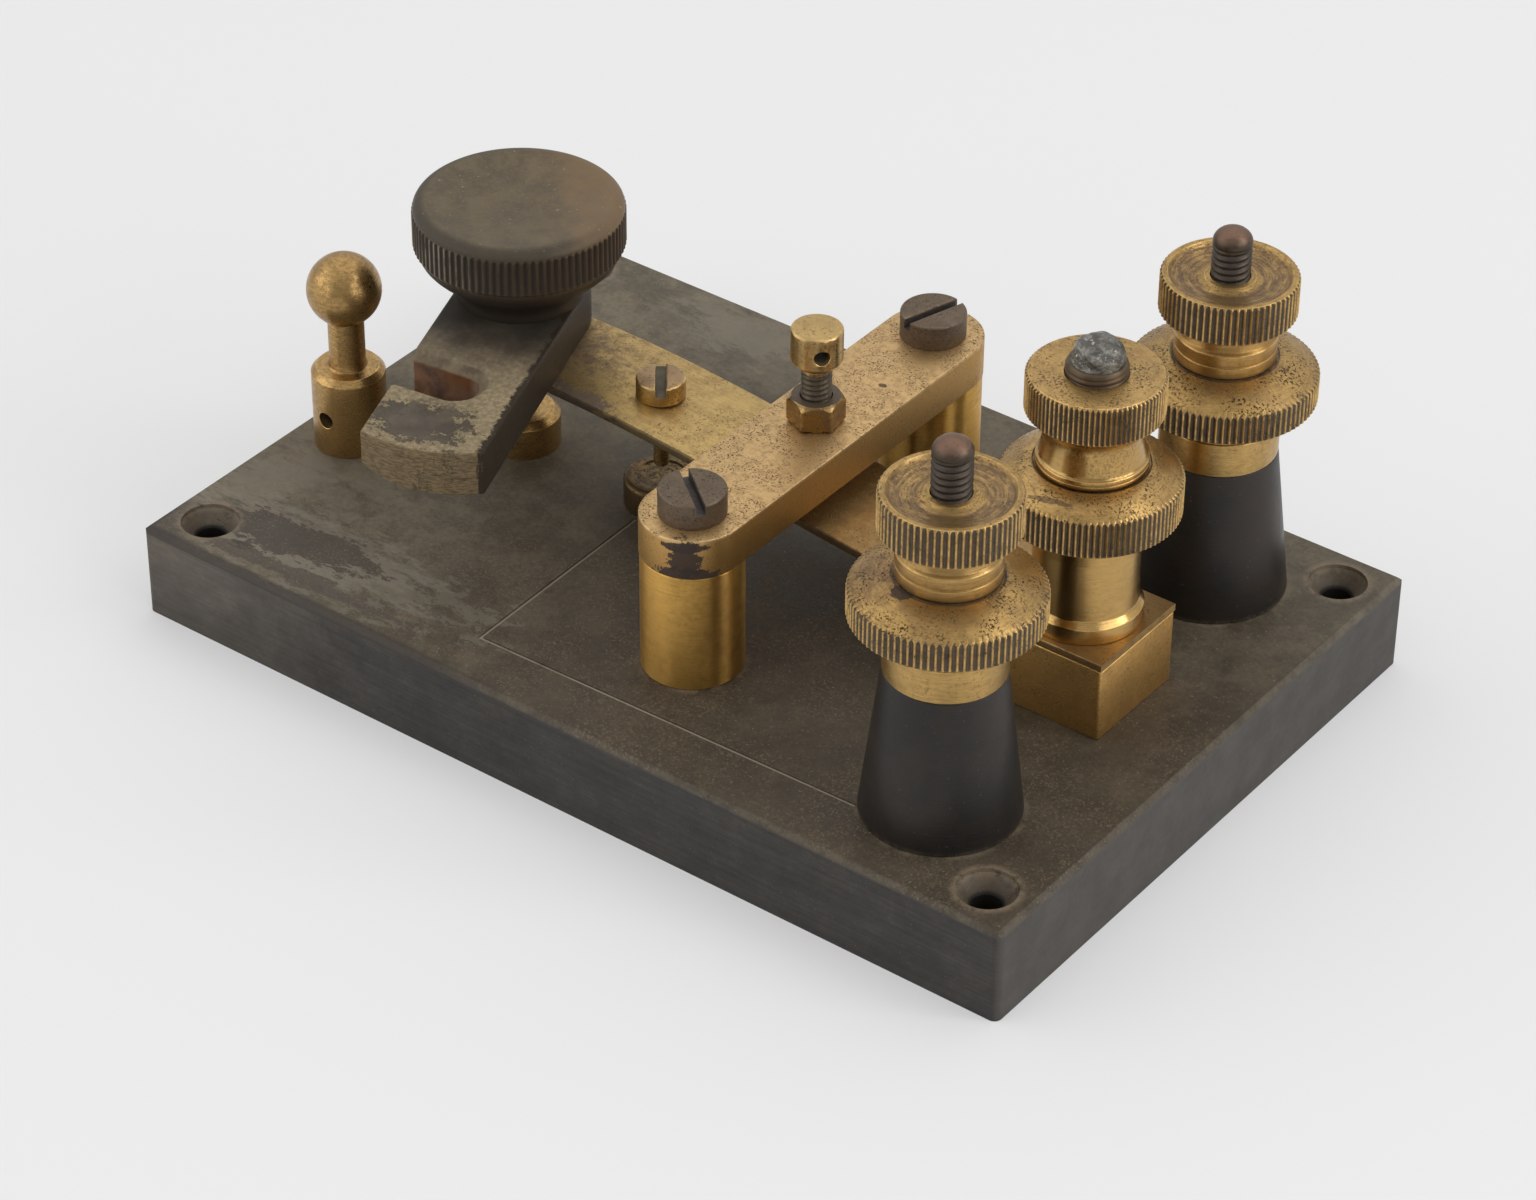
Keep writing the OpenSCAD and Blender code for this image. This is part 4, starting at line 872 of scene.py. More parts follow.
# levels of a slab between z0 and z1 whose edges are quarter rounds: rows of (inset, z, edge)
def slabLevels(z0, z1, low, high, steps=4):
    t = np.linspace(0, np.pi / 2, steps + 1)
    below = [(low * (1 - math.sin(a)), z0 + low * (1 - math.cos(a)), math.sin(2 * a)) for a in t]
    above = [(high * (1 - math.cos(a)), z1 - high * (1 - math.sin(a)), math.sin(2 * a)) for a in t]
    return below + above


middle = {
    "at": (53.7, 0.7), "side": 18.2, "foot": 15.0, "top": 26.65, "stripTop": 27.85,
    "columnTop": 45.2, "studTop": 69.1, "studR": 4.37, "boreR": 4.43, "flangeR": 8.25, "columnR": 7.65,
    "tailR": 2.8, "pitch": 0.85, "threadDepth": 0.2,
    "nutZ": 45.25, "nutR": 12.7, "knurlH": 5.7, "rise": 2.05, "ledgeR": 8.3, "teeth": 94, "nutDepth": 0.38,
    "clampZ": 53.05, "clampR": 9.6, "neckH": 8.2, "gripH": 6.0, "clampTeeth": 82, "clampDepth": 0.36,
    # clamp nut's flange: radius, height, round
    "flange": ((7.75, 0, 0.2), (7.75, 0.6, 0.05), (7.66, 0.66, 0.03), (7.75, 0.76, 0.05),
               (7.75, 1.35, 0.15), (7.5, 1.5, 0.05)),
    "solderH": 3.75, "solderR": 3.72,
}


# square block, column with a flange, a slight waist and a threaded end, and two nuts: the large nut's
# top rises as 1 - (1 - u)^1.6, the clamp nut's neck is a cove of (1 - u)^2.4 below and u^6 above
def middleShapes(m):
    (x, y), half = m["at"], m["side"] / 2
    levels = slabLevels(m["foot"], m["top"], 0.2, 0.3)
    block = slab(lambda inset: rectangle(x - half, y - half, x + half, y + half, 0.45, inset), levels)
    s, top, end = m["stripTop"], m["columnTop"], m["studTop"]
    flangeR, columnR, studR, tailR, bore = m["flangeR"], m["columnR"], m["studR"], m["tailR"], m["boreR"]
    profile = [(0, 1.0), (tailR, 1.0, 0.2), (tailR, s, 0), (flangeR, s, 0.2), (flangeR, s + 2.5, 0.25),
               (flangeR - 0.4, s + 3.0, 0.3), (columnR - 0.15, s + 3.4, 0.4), (columnR - 0.2, s + 8.0, 3),
               (columnR - 0.2, s + 12.5, 3), (columnR, top - 0.4, 0.2), (columnR - 0.4, top, 0.2),
               (studR, top, 0), (studR, end - 0.8, 0.5), (4.1, end - 0.2, 0.2), (3.9, end, 0.1), (0, end)]
    thread = threadCut(m["threadDepth"], m["pitch"], top + 3, end - 0.5, 4.2)
    column = turned(profile, m["at"], 128, step=0.14, cut=thread)
    z, h, nutR, rise = m["nutZ"], m["knurlH"], m["nutR"], m["rise"]
    rim, ledgeR, peak = nutR - 0.2, m["ledgeR"], z + h + rise
    foot = [(bore, z), (nutR - 0.6, z, 0.2), (nutR, z + 0.45, 0.2), (nutR, z + h - 0.25, 0.2),
            (rim, z + h, 0.2)]
    arc = np.linspace(0, 1, 12)[1:]
    dome = [(rim + (ledgeR - rim) * u, z + h + rise * (1 - (1 - u) ** 1.6)) for u in arc]
    ledge = [(ledgeR - 0.2, peak, 0.05), (ledgeR - 0.25, peak - 0.2, 0.05), (bore, peak - 0.2)]
    ribs = knurlCut(nutR, m["nutDepth"], m["teeth"], z + 0.05, z + h + 0.35)
    nut = turned(foot + dome + ledge, m["at"], m["teeth"] * 9, ring=True, cut=ribs, rubbed=0.7)
    z, neckH, gripH, clampR = m["clampZ"], m["neckH"], m["gripH"], m["clampR"]
    arc = np.linspace(0, 1, 22)
    cove = [(6.65 + 0.75 * (1 - u) ** 2.4 + 2.55 * u ** 6, 1.6 + (neckH - 1.6) * u) for u in arc]
    grip = [(clampR, 0.35, 0.2), (clampR, gripH - 0.4, 0.2), (clampR - 0.45, gripH, 0.3), (bore, gripH)]
    ribs = knurlCut(clampR, m["clampDepth"], m["clampTeeth"], z + neckH + 0.05, z + neckH + gripH + 0.1)
    profile = lifted([(bore, 0), *m["flange"], *cove], z) + lifted(grip, z + neckH)
    clamp = turned(profile, m["at"], m["clampTeeth"] * 10, ring=True, cut=ribs, rubbed=0.7)
    return block, column, nut, clamp


# thimble (r (1 - 0.06 t) (1 - t^3)^0.45, h t), pushed in and out by sine waves across x, y and z,
# so that it sets in lumps
def solderShape(m):
    u = 1 - np.linspace(1, 0, 44) ** 1.6
    foot = m["studTop"] - 0.15
    r = m["solderR"] * (1 - 0.06 * u) * np.maximum(0, 1 - u ** 3) ** 0.45
    z = foot + m["solderH"] * u
    shape = turned([(0, foot)] + list(zip(r, z)), m["at"], 96)
    d = shape["co"] - [*m["at"], foot]
    x, y, z = d.T
    lump = np.sin(1.7 * x + 0.9 * y + 1) + np.sin(2.1 * y - 2.3 * z + 2) + 0.8 * np.sin(3.1 * z + 1.9 * x)
    lump = lump + 0.6 * np.sin(3.7 * x - 2.9 * y) + 0.4 * np.sin(7 * z + 4 * y + 3 * x)
    grow = np.clip(z / 0.6, 0, 1)
    outward = d / np.linalg.norm(d + 1e-9, axis=1)[:, None]
    shape["co"] += outward * (0.05 * (lump - 1.6) * grow)[:, None]
    shape["co"][:, :2] += grow[:, None] * np.array([0.12, 0.1])  # it leans a little
    return shape


block, column, nut, clamp = middleShapes(middle)
makePiece("middle.block", block, "base", "terminal_block", finish["blockBrass"])
makePiece("middle.column", column, "base", "middle_column", finish["columnBrass"])
makePiece("middle.largeNut", nut, "middle_large", "middle_large_nut", finish["brightBrass"])
makePiece("middle.clampNut", clamp, "middle_clamp", "middle_clamp_nut", finish["brightBrass"])
makePiece("middle.solder", solderShape(middle), "base", "solder_cap", finish["solder"], 60)
print("middle terminal done:", len(pieces))


key = {
    "y": 0.7, "halfW": 9.2, "thick": 1.2, "rootX": 44.6, "endX": 62.8, "knobX": -46.3, "levelX": -36.0,
    "rootZ": 27.85, "rise": 6.5,
    "screwAt": (-20.3, 0.7), "headR": 3.65, "headH": 3.0, "slotW": 1.5, "slotD": 1.0, "slotTurn": -52.3,
    "pinR": 1.15, "shankR": 1.7, "pinTip": 21.67,
    "anvilR": 5.6, "anvilTop": 19.6, "stopR": 5.5, "stopTop": 21.0, "foot": 15.0,
}


# the strip's top: its root plus its rise times smoothStep of the way to the level end
def stripTop(k, x):
    way = (k["rootX"] - x) / (k["rootX"] - k["levelX"])
    return k["rootZ"] + k["rise"] * smoothStep(np.clip(way, 0, 1))


# flat bar section carried along the key; its half width is w to the knob's axis and sqrt(w^2 - d^2) past it
def stripShape(k):
    w, t = k["halfW"], k["thick"]
    tip = k["knobX"] - w * np.sin(np.linspace(0.02, 0.49, 26) * np.pi)
    x = np.concatenate([np.linspace(k["endX"], k["knobX"], 150), tip])
    half = np.where(x < k["knobX"], np.sqrt(np.maximum(w * w - (k["knobX"] - x) ** 2, 0)), w)
    loop, bend = roundedPath([(-w, -t, 0.12), (w, -t, 0.12), (w, 0, 0.18), (-w, 0, 0.18)], True, 4)
    across = loop[None, :, 0] * (half / w)[:, None]
    up = loop[None, :, 1] + stripTop(k, x)[:, None]
    co = np.stack([np.repeat(x[:, None], len(loop), 1), k["y"] + across, up], -1)
    n = len(loop)
    caps = [np.arange(n), np.arange(len(x) * n - 1, (len(x) - 1) * n - 1, -1)]
    return {"co": co.reshape(-1, 3), "quads": gridFaces(len(x), n)[:, ::-1], "caps": caps,
            "bend": np.tile(bend, len(x)), "along": np.repeat(x, n)}


chordPoints = 12  # points along one side of a screw's slot
slotDirt = 0.36  # how deep a groove a slot's faces count as


# half of a slotted head: a circle of radius r - d cut by a chord that stands gap / 2 + d from the middle
def halfHead(r, gap, d):
    r, c = r - d, gap / 2 + d
    a0 = math.asin(c / r)
    a = np.linspace(a0, math.pi - a0, 40)
    x0 = r * math.cos(a0)
    chord = np.linspace(-x0, x0, chordPoints + 2)[1:-1]
    rim = np.column_stack([r * np.cos(a), r * np.sin(a)])
    return np.vstack([rim, np.column_stack([chord, np.full(chordPoints, c)])])


# slotted head: a turned foot up to the slot's floor, which may lean along the slot, and two halves above it
def slottedHead(at, r, z0, z1, gap, depth, turn, edge, below, lean=0.0):
    floor = z1 - depth
    foot = turned(below + [(r, z0, 0.15), (r, floor, 0), (r - 0.02, floor, 0), (0, floor)], at, 80)
    onFloor = foot["co"][:, 2] > floor - 1e-6
    foot["groove"] = np.where(onFloor & (foot["out"] < r - 0.01), slotDirt, 0.0)
    way = np.array([math.cos(math.radians(turn)), math.sin(math.radians(turn))])
    foot["co"][:, 2] -= onFloor * lean * ((foot["co"][:, :2] - at) @ way) / r
    rounds = slabLevels(floor, z1, 0.0, edge)[5:]
    levels = [(0.0, floor - 0.3 - lean, 0), (0.0, z1 - edge - 0.1, 0)] + rounds
    parts = [foot]
    for spin in (0, math.pi):
        w = math.radians(turn) + spin
        spun = np.array([[math.cos(w), math.sin(w)], [-math.sin(w), math.cos(w)]])
        half = slab(lambda inset: halfHead(r, gap, inset) @ spun + at, levels)
        count = len(half["co"]) // len(levels)
        onChord = np.arange(len(half["co"])) % count >= count - chordPoints
        half["groove"] = np.where(onChord & (half["co"][:, 2] < z1 - edge), slotDirt, 0.0)
        parts.append(half)
    return joined(*parts)


# contact screw over a thin pin, lower contact with a sunk top, stop stud with a chamfer
def keyShapes(k):
    seat = float(stripTop(k, np.array(k["screwAt"][0])))
    pinR, shankR, tip, foot = k["pinR"], k["shankR"], k["pinTip"], k["foot"]
    below = [(0, tip), (pinR, tip, 0.2), (pinR, seat - 5, 0.05), (shankR, seat - 5, 0.1), (shankR, seat, 0)]
    screw = slottedHead(np.array(k["screwAt"]), k["headR"], seat, seat + k["headH"], k["slotW"], k["slotD"],
                        k["slotTurn"], 0.3, below, 0.4)
    r, top = k["anvilR"], k["anvilTop"]
    anvil = turned([(0, 1.5), (2.8, 1.5, 0.2), (2.8, foot, 0), (r, foot, 0.1), (r, top, 0.8), (3.9, top, 0.2),
                    (3.6, top - 0.25, 0.2), (0, top - 0.25)], k["screwAt"])
    r, top = k["stopR"], k["stopTop"]
    profile = [(0, foot), (r, foot, 0.1), (r, top - 1, 0.3), (r - 1, top, 0.3), (0, top)]
    stop = turned(profile, (k["knobX"], k["y"]))
    return screw, anvil, stop


strip = makePiece("key.strip", stripShape(key), None, "contact_strip", finish["stripBrass"])
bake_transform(strip)
screw, anvil, stop = keyShapes(key)
makePiece("key.contactScrew", screw, "lever", "contact_screw", finish["screwBrass"])
makePiece("key.lowerContact", anvil, "base", "lower_contact", finish["contactDark"])
makePiece("key.stopStud", stop, "base", "stop_stud", finish["postBrass"])
print("key done:", len(pieces))


latch = {
    "at": (-46.3, 0.7), "turn": -70.0, "z0": 34.4, "z1": 41.5,
    "halfW": 9.2, "tailAt": -3.3, "bowAt": 24.0, "bowR": 20.0,
    "slotAt": (25.912, -0.633), "slotTurn": -102.09, "slotHalf": 3.2, "seatW": 1.85, "seatD": 1.35,
    "wornAt": (41.5, -9.0), "wornR": 3.2, "wornH": 1.7, "skinAt": (37.0, -1.5), "skinReach": (6.2, 9.0),
    "neckR": 9.5, "knobR": 15.6, "knobH": 15.6, "lip": 1.55, "knurlH": 5.7, "dish": 1.2,
    "teeth": 88, "ribDepth": 0.28,
}


# outline of the arm, inset by a at its rim and by s at its slot: an arc at the front, a half circle
# at the tail, straight sides, and a slot with a half round end
def armOutline(l, a, s):
    w, h = l["halfW"] - a, l["slotHalf"] + s
    c = np.array(l["slotAt"])
    d = np.array([math.cos(math.radians(l["slotTurn"])), math.sin(math.radians(l["slotTurn"]))])
    n = np.array([-d[1], d[0]])  # towards the front
    front, rear = c + n * h, c - n * h
    mouthF = front + d * ((-w - front[1]) / d[1])
    mouthR = rear + d * ((-w - rear[1]) / d[1])
    bow = l["bowR"] - a
    tipX = l["bowAt"] + math.sqrt(bow * bow - w * w)
    b = np.linspace(-math.asin(w / bow), math.asin(w / bow), 40)[1:-1]
    bowArc = np.column_stack([l["bowAt"] + bow * np.cos(b), bow * np.sin(b)])
    t = np.linspace(math.pi / 2, 3 * math.pi / 2, 40)
    tail = np.column_stack([l["tailAt"] + w * np.cos(t), w * np.sin(t)])
    e0 = math.atan2(-n[1], -n[0])
    e = np.linspace(e0, e0 - math.pi, 24)
    end = c + h * np.column_stack([np.cos(e), np.sin(e)])

    def run(p, q, k):  # k points spaced evenly between p and q
        return p + (q - p) * np.linspace(0, 1, k + 2)[1:-1, None]

    def corner(before, p, after, r):  # p rounded off between its neighbours
        return roundedPath([(*before, 0), (*p, r), (*after, 0)], False, 5)[0][1:-1]
    tipF, tipB = np.array([tipX, -w]), np.array([tipX, w])
    r = 0.45
    return np.vstack([
        corner(mouthF, tipF, bowArc[0], r), bowArc, corner(bowArc[-1], tipB, tail[0], r),
        run(tipB, tail[0], 30)[1:], tail, run(tail[-1], mouthR, 20), corner(tail[-1], mouthR, rear, r),
        run(mouthR, end[0], 14)[1:], end, run(end[-1], mouthF, 14)[:-1],
        corner(end[-1], mouthF, tipF, r), run(mouthF, tipF, 14)[1:-1],
    ])


# slab of that outline whose slot widens to a sloped seat; a hollow exp(-d^2 / 2 r^2) is worn under its front
def armShape(l):
    z0, z1, seatZ, slope = l["z0"], l["z1"], l["z1"] - l["seatD"], l["seatW"] / l["seatD"]
    rounds = slabLevels(z0, z1, 0.4, 0.35)
    levels = [((inset, 0.6 * inset), z, edge) for inset, z, edge in rounds[:5]]
    levels += [((0, 0), seatZ - 0.15, 0), ((0, 0.08), seatZ + 0.06, 0)]
    levels += [((inset, slope * (z - seatZ)), z, edge) for inset, z, edge in rounds[5:]]
    shape = slab(lambda insets: armOutline(l, *insets), levels)
    u, v, z = shape["co"].T
    low = np.clip((z0 + 1.2 - z) / 1.2, 0, 1)
    away = (u - l["wornAt"][0]) ** 2 + (v - l["wornAt"][1]) ** 2
    shape["co"][:, 2] += low * l["wornH"] * np.exp(-away / (2 * l["wornR"] ** 2))
    return placed(shape, l["at"], l["turn"])


# neck that flares by smoothStep to the ribs, a quarter ellipse over the lip, and a dish cut by a large ball
def knobShape(l):
    z, knobR, neckR, dish = l["z1"], l["knobR"], l["neckR"], l["dish"]
    rim, lip, top = knobR - 0.3, knobR - 0.15, z + l["knobH"]
    k1 = top - l["lip"]
    k0 = k1 - l["knurlH"]
    way = np.linspace(0, 1, 14)
    flare = [(neckR + (rim - 0.4 - neckR) * smoothStep(u), z + 1 + (k0 - z - 1.6) * u) for u in way]
    lipW, edge = 2.0, k1 + 0.1
    arc = np.linspace(0, math.pi / 2, 12)[1:-1]
    over = [(lip - lipW * (1 - math.cos(t)), edge + (top - edge) * math.sin(t)) for t in arc]
    dishR = lip - lipW
    ball = (dishR ** 2 + dish ** 2) / (2 * dish)
    sunk = [(r, top - dish + ball - math.sqrt(ball * ball - r * r)) for r in np.linspace(dishR, 0, 24)]
    ribs = [(knobR, k0 + 0.3, 0.2), (knobR, k1 - 0.15, 0.15), (lip, edge, 0.1)]
    cut = knurlCut(knobR, l["ribDepth"], l["teeth"], k0 + 0.1, k1 + 0.3, 1.0)
    return turned([(0, z), (neckR, z, 0.2)] + flare + ribs + over + sunk, l["at"], l["teeth"] * 10, cut=cut)


makePiece("latch.arm", armShape(latch), "latch", "latch_arm", armFinish("arm ebonite", latch))
makePiece("latch.knob", knobShape(latch), "latch", "finger_knob",
          knobFinish("knob ebonite", latch))

post = {
    "at": (-67.0, -14.9), "z0": 15.0, "footR": 5.55, "footH": 13.3,
    "stemR": 2.72, "ballZ": 41.4, "ballR": 5.58, "holeR": 1.28, "holeZ": 21.05,
}


# cross hole in a turned wall: a square of the grid gives way to rings between that square and the hole's rim,
# whose points are (R cos(a + asin(h cos f / R)), ..., z + h sin f), and a tube runs from the rim to the axis
def drilled(shape, at, radius, columns, columnHalf, rowLow, rowHigh, middleColumn, holeR, holeZ):
    co, faces = shape["co"], shape["quads"]
    cells = 2 * columnHalf
    parts = []
    row, col = faces[:, 0] // columns, faces[:, 0] % columns
    keep = np.ones(len(faces), bool)
    for m in (middleColumn, middleColumn + columns // 2):
        offset = (col - (m - columnHalf)) % columns
        keep &= ~((row >= rowLow) & (row < rowHigh) & (offset < cells))
        k = np.arange(cells)
        c0, c1 = m - columnHalf, m + columnHalf
        rows = np.round(np.linspace(rowLow, rowHigh, cells + 1)).astype(int)
        low, high = np.full(cells, rowLow), np.full(cells, rowHigh)
        left, right = np.full(cells, c0), np.full(cells, c1)
        sides = ((low, c0 + k), (rows[:-1], right), (high, c1 - k), (rows[:0:-1], left))
        ring = np.concatenate([np.stack(side, 1) for side in sides])
        outer = co[ring[:, 0] * columns + ring[:, 1] % columns]
        a = 2 * np.pi * m / columns
        centre, up = np.array([*at, holeZ]), np.array([0, 0, 1])
        along, side = np.array([math.cos(a), math.sin(a), 0]), np.array([-math.sin(a), math.cos(a), 0])
        f = np.arctan2(outer[:, 2] - holeZ, (outer - [*at, 0]) @ side)
        rings = [outer]
        for share, grow in ((0.5, 1.12), (1.0, 1.06), (1.0, 1.0)):
            h = holeR * grow
            x = h * np.cos(f)
            depth = np.sqrt(radius ** 2 - x ** 2) - (0.08 if grow == 1.0 else 0)
            rim = centre + depth[:, None] * along + x[:, None] * side + (h * np.sin(f))[:, None] * up
            rings.append(outer + (rim - outer) * share)
        rings.append(centre + (holeR * np.cos(f))[:, None] * side + (holeR * np.sin(f))[:, None] * up)
        n = len(outer)
        parts.append({"co": np.vstack(rings), "quads": gridFaces(len(rings), n),
                      "along": np.zeros(len(rings) * n),
                      "groove": np.repeat([0, 0, 0, 0.1, 0.6], n), "bend": np.repeat([0, 0, 0.7, 0.2, 0], n)})
    return joined(dict(shape, quads=faces[keep]), *parts)


# drilled foot with a chamfer, a stem, and a ball (R sin a, c - R cos a)
def postShape(p):
    z, r, stemR, ballR, hole = p["z0"], p["footR"], p["stemR"], p["ballR"], p["holeZ"]
    footTop = z + p["footH"]
    arc = np.linspace(math.asin(stemR / ballR), math.pi, 40)
    ball = [(ballR * math.sin(a), p["ballZ"] - ballR * math.cos(a)) for a in arc]
    rows = np.linspace(hole - 1.8, hole + 1.8, 9)
    shoulder = [(r, footTop - 0.9, 0.3), (r - 0.85, footTop, 0.3), (stemR + 0.1, footTop, 0.4),
                (stemR, footTop + 1.5)]
    columns = 160
    shape = turned([(0, z), (r, z, 0.15)] + [(r, h) for h in rows] + shoulder + ball, p["at"], columns)
    miss = np.abs(shape["co"][::columns, 2] - rows[0]) + np.abs(shape["out"][::columns] - r)
    rowLow = int(np.argmin(miss))
    return drilled(shape, p["at"], r, columns, 8, rowLow, rowLow + 8, columns * 3 // 4, p["holeR"], hole)


makePiece("latch.post", postShape(post), "base", "latch_post", finish["postBrass"])
print("latch done:", len(pieces))


bridge = {
    "x": 7.3, "y0": -27.4, "y1": 29.4, "foot": 15.0, "barZ": 34.0, "barTop": 40.35,
    "pillarR": 7.4, "barR": 7.5, "headR": 4.85, "headH": 3.95, "slotW": 1.3, "slotD": 1.6,
    "turns": {"near": -38.0, "far": 73.0}, "shankR": 2.5, "shankZ": 27.0,
    "screwAt": (7.3, 1.0), "screwTip": 30.91, "screwR": 2.24, "headZ": 49.7, "adjustR": 3.74,
    "adjustH": 6.1, "holeR": 1.15, "holeTurn": -42.0, "neckR": 2.0, "pitch": 0.85, "threadDepth": 0.26,
    "nutZ": 40.4, "nutH": 4.25, "nutFlat": 7.3, "nutTurn": 37.7, "nutBore": 2.36,
}


# stadium, two half circles and two straight sides, carried up as a slab
def barShape(b):
    a = np.linspace(0, np.pi, 48)

    def stadium(inset):
        r = b["barR"] - inset
        far = np.column_stack([b["x"] + r * np.cos(a), b["y1"] + r * np.sin(a)])
        near = np.column_stack([b["x"] - r * np.cos(a), b["y0"] - r * np.sin(a)])
        t = np.linspace(0, 1, 40)[1:-1, None]
        return np.vstack([far, far[-1] + (near[0] - far[-1]) * t, near, near[-1] + (far[0] - near[-1]) * t])
    return slab(stadium, slabLevels(b["barZ"], b["barTop"], 0.15, 0.2))


# threaded shank, a short neck and a cross-drilled head, one turned profile
def adjusterShape(b):
    z, r, tip, shankR = b["headZ"], b["adjustR"], b["screwTip"], b["screwR"]
    top, neckR, hole = z + b["adjustH"], b["neckR"], z + 0.52 * b["adjustH"]
    rows = np.linspace(hole - 1.7, hole + 1.7, 9)
    columns = 144
    shank = [(0, tip), (1.0, tip, 0.4), (shankR, tip + 1.2, 0.2), (shankR, z - 0.7)]
    head = [(neckR, z - 0.5, 0.1), (neckR, z - 0.1, 0.1), (r - 1.1, z, 0.2), (r, z + 1.1, 0.4)]
    head += [(r, h) for h in rows] + [(r, top, 0.35), (0, top)]
    fineShank = [tuple(p) for p in denser(*roundedPath(shank), 0.1)[0]]
    thread = threadCut(b["threadDepth"], b["pitch"], tip + 1.4, z - 0.8, 1.9)
    shape = turned(fineShank + head, (0, 0), columns, cut=thread)
    rowLow = int(np.argmin(np.abs(shape["co"][::columns, 2] - rows[0])))
    shape = drilled(shape, (0, 0), r, columns, 12, rowLow, rowLow + 8, 0, b["holeR"], hole)
    return placed(shape, b["screwAt"], b["holeTurn"])


# hexagon: the turned radius is lowered to flat / cos(angle from the middle of the nearest flat)
def locknutShape(b):
    flat, bore, sixth = b["nutFlat"] / 2, b["nutBore"], math.pi / 3
    turn = math.radians(b["nutTurn"])
    z0, z1 = b["nutZ"], b["nutZ"] + b["nutH"]
    wide = flat / math.cos(math.pi / 6) + 0.1  # just past the corners

    def cut(r, z, a):
        return np.minimum(r, flat / np.cos((a - turn) % sixth - sixth / 2))
    chamfer = [(wide - (wide - flat + 0.15) * u, z1 - 0.85 + 0.85 * u ** 1.6) for u in np.linspace(0, 1, 14)]
    profile = [(bore, z0), (flat - 0.1, z0), (wide, z0 + 0.35, 0.1)] + chamfer + [(bore, z1)]
    shape = turned(profile, b["screwAt"], 6 * 24, ring=True, cut=cut, start=turn)
    x, y, z = (shape["co"] - [*b["screwAt"], 0]).T
    off = np.degrees(np.abs((np.arctan2(y, x) - turn) % sixth - sixth / 2))
    shape["bend"] = np.clip((off - 24) / 5, 0, 1) * (z < z1 - 0.3)  # rubbed corners, brightened also as a painted highlight
    inHeight = np.clip((z1 - 0.7 - z) / 0.5, 0, 1) * np.clip((z - z0 - 0.3) / 0.5, 0, 1)
    onFlat = np.clip((23 - off) / 8, 0, 1) * inHeight
    shape["groove"] = np.where(z > z1 - 0.05, 0.21, 0.19 * onFlat)  # dull top; painted shade darkens the middles of the flats
    return shape


# a plain round pillar, and a slotted screw over it
def standShapes(b, side, y):
    foot, r, seat, shankR = b["foot"], b["pillarR"], b["barTop"], b["shankR"]
    pillar = turned([(0, foot), (r, foot, 0.25), (r, b["barZ"], 0.2), (0, b["barZ"])], (b["x"], y), 128)
    shank = [(0, b["shankZ"]), (shankR, b["shankZ"], 0.2), (shankR, seat, 0)]
    screw = slottedHead(np.array([b["x"], y]), b["headR"], seat, seat + b["headH"], b["slotW"], b["slotD"],
                        b["turns"][side], 0.35, shank)
    return pillar, screw


makePiece("bridge.bar", barShape(bridge), "base", "bridge_bar", finish["barBrass"])
for side, y in (("near", bridge["y0"]), ("far", bridge["y1"])):
    pillar, screw = standShapes(bridge, side, y)
    makePiece(side + ".bridgePillar", pillar, "base", side + "_bridge_pillar",
              finish["pillarBrass"])
    makePiece(side + ".bridgeScrew", screw, "base", side + "_bridge_screw", finish["darkScrew"])
makePiece("bridge.adjuster", adjusterShape(bridge), "adjuster", "adjusting_screw",
          finish["screwBrass"])
makePiece("bridge.locknut", locknutShape(bridge), "lock", "locknut", finish["nutDark"], 25)
print("bridge done:", len(pieces))


softEdge = {  # mm
    "base_plate": 0.6, "underside_nuts": 0.15, "underside_screws": 0.15,
    "near_strap": 0.1, "far_strap": 0.1, "pivot_bolt": 0.2,
}
for name, width in softEdge.items():
    solid = nodes[name]
    weld = solid.modifiers.new("weld", "WELD")
    weld.merge_threshold = 1e-6
    flat = solid.modifiers.new("flat", "DECIMATE")
    flat.decimate_type = "DISSOLVE"
    flat.angle_limit = math.radians(0.3)
    bevel = solid.modifiers.new("edge", "BEVEL")
    bevel.width = width * mm
    bevel.segments = 2
    bevel.limit_method = "ANGLE"
    bevel.angle_limit = math.radians(32)
    solid.data.materials.clear()
    solid.data.materials.append(finish["base"] if name == "base_plate" else finish["lowBrass"])
print("solids dressed:", len(softEdge))

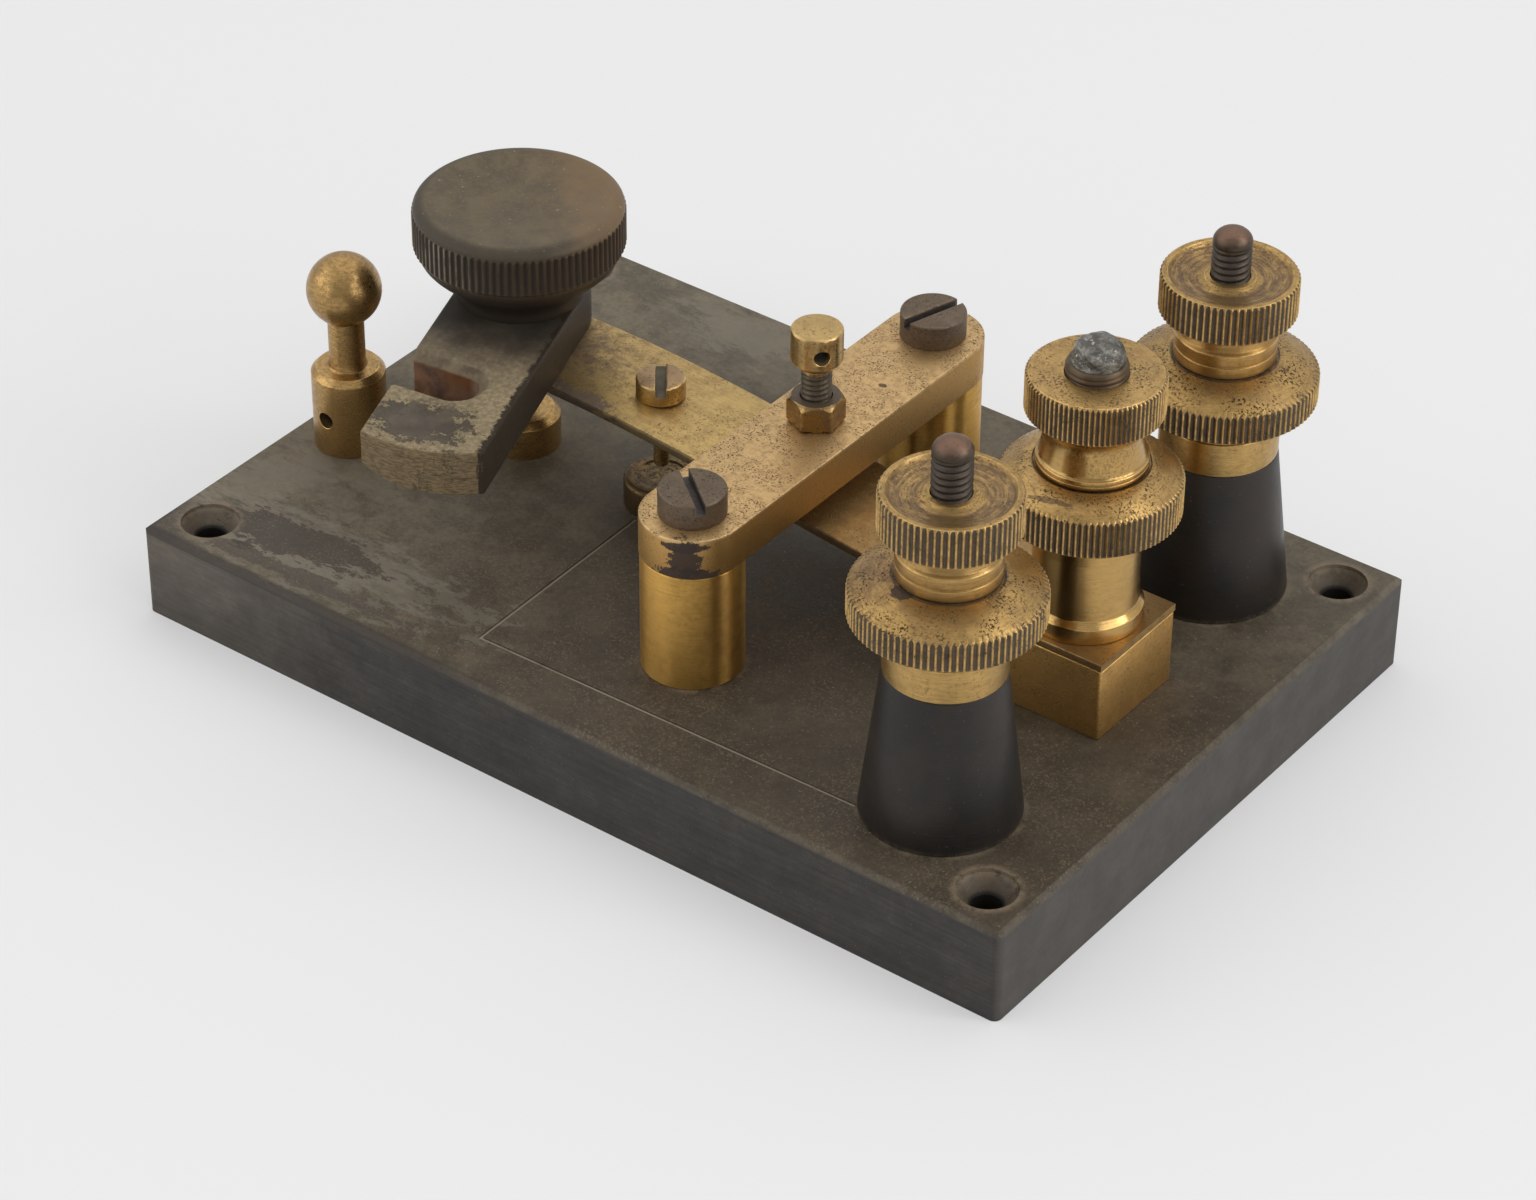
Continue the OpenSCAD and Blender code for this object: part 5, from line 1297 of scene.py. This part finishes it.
studio = {
    "floor": 0.79, "glow": 0.82, "share": 0.36,  # floor colour, and the even glow that thins its shadows
    "low": 0.46, "high": 1.34,  # sky at the horizon and overhead
    "dim": 0.55,  # share of the sky's light that comes from behind the camera
    "aim": (0, 0, 0.03),
    "lamps": (
        {"name": "left softbox", "at": (-0.82, -1.02, 0.58), "size": (1.8, 1.1), "watts": 5.2},
        {"name": "right panel", "at": (1.35, 0.1, 0.62), "size": (1.3, 0.9), "watts": 6.6},
        {"name": "right strip", "at": (0.89, 0.39, 0.87), "size": (0.22, 1.0), "watts": 2.0},
    ),
}


# pale floor, a sky brighter overhead and dimmer behind the camera, and area lamps aimed at the key
def addStudio(s):
    bpy.ops.mesh.primitive_plane_add(size=6, location=(0, 0, -0.05 * mm))  # just clear of the underside
    floor = bpy.context.object
    floor.name = "floor"
    material, shader = newFinish("floor")
    dress(shader, {"Base Color": (*(s["floor"],) * 3, 1), "Roughness": 0.9, "Specular IOR Level": 0.1})
    ray = node("LightPath").outputs
    seen = calc("MAXIMUM", ray["Is Camera Ray"], ray["Is Glossy Ray"])
    seen = calc("MAXIMUM", seen, ray["Is Transmission Ray"])
    glow = wire("Emission", {"Color": (1, 1, 1, 1), "Strength": s["glow"]})
    mixed = wire("MixShader", {0: seen * s["share"], 1: shader.outputs[0], 2: glow})
    feed(material.node_tree.nodes["Material Output"].inputs[0], mixed)
    floor.data.materials.append(material)
    world = bpy.data.worlds.new("studio")
    bpy.context.scene.world = world
    world.use_nodes = True
    wiring["tree"] = world.node_tree
    world.node_tree.nodes.clear()
    aim = wire("TexCoord", pick="Generated")
    way = wire("VectorMath", {0: aim, 1: camera["back"]}, "Value", operation="DOT_PRODUCT")
    lift = calc("MAXIMUM", wire("SeparateXYZ", {0: aim}, 2), 0.0)
    shade = between(lift, s["low"], s["high"]) * between(window(way, 0.15, 0.9), 1.0, s["dim"])
    sky = wire("Background", {"Color": (1, 1, 1, 1), "Strength": shade})
    feed(node("OutputWorld").inputs[0], sky)
    for lamp in s["lamps"]:
        data = bpy.data.lights.new(lamp["name"], "AREA")
        data.shape = "RECTANGLE"
        data.size, data.size_y = lamp["size"]
        data.energy = lamp["watts"]
        rig = bpy.data.objects.new(lamp["name"], data)
        bpy.context.scene.collection.objects.link(rig)
        rig.location = lamp["at"]
        aim = Vector(s["aim"]) - Vector(lamp["at"])
        rig.rotation_euler = aim.to_track_quat("-Z", "Y").to_euler()


addStudio(studio)
print("studio lit")

print("pieces:", len(pieces))
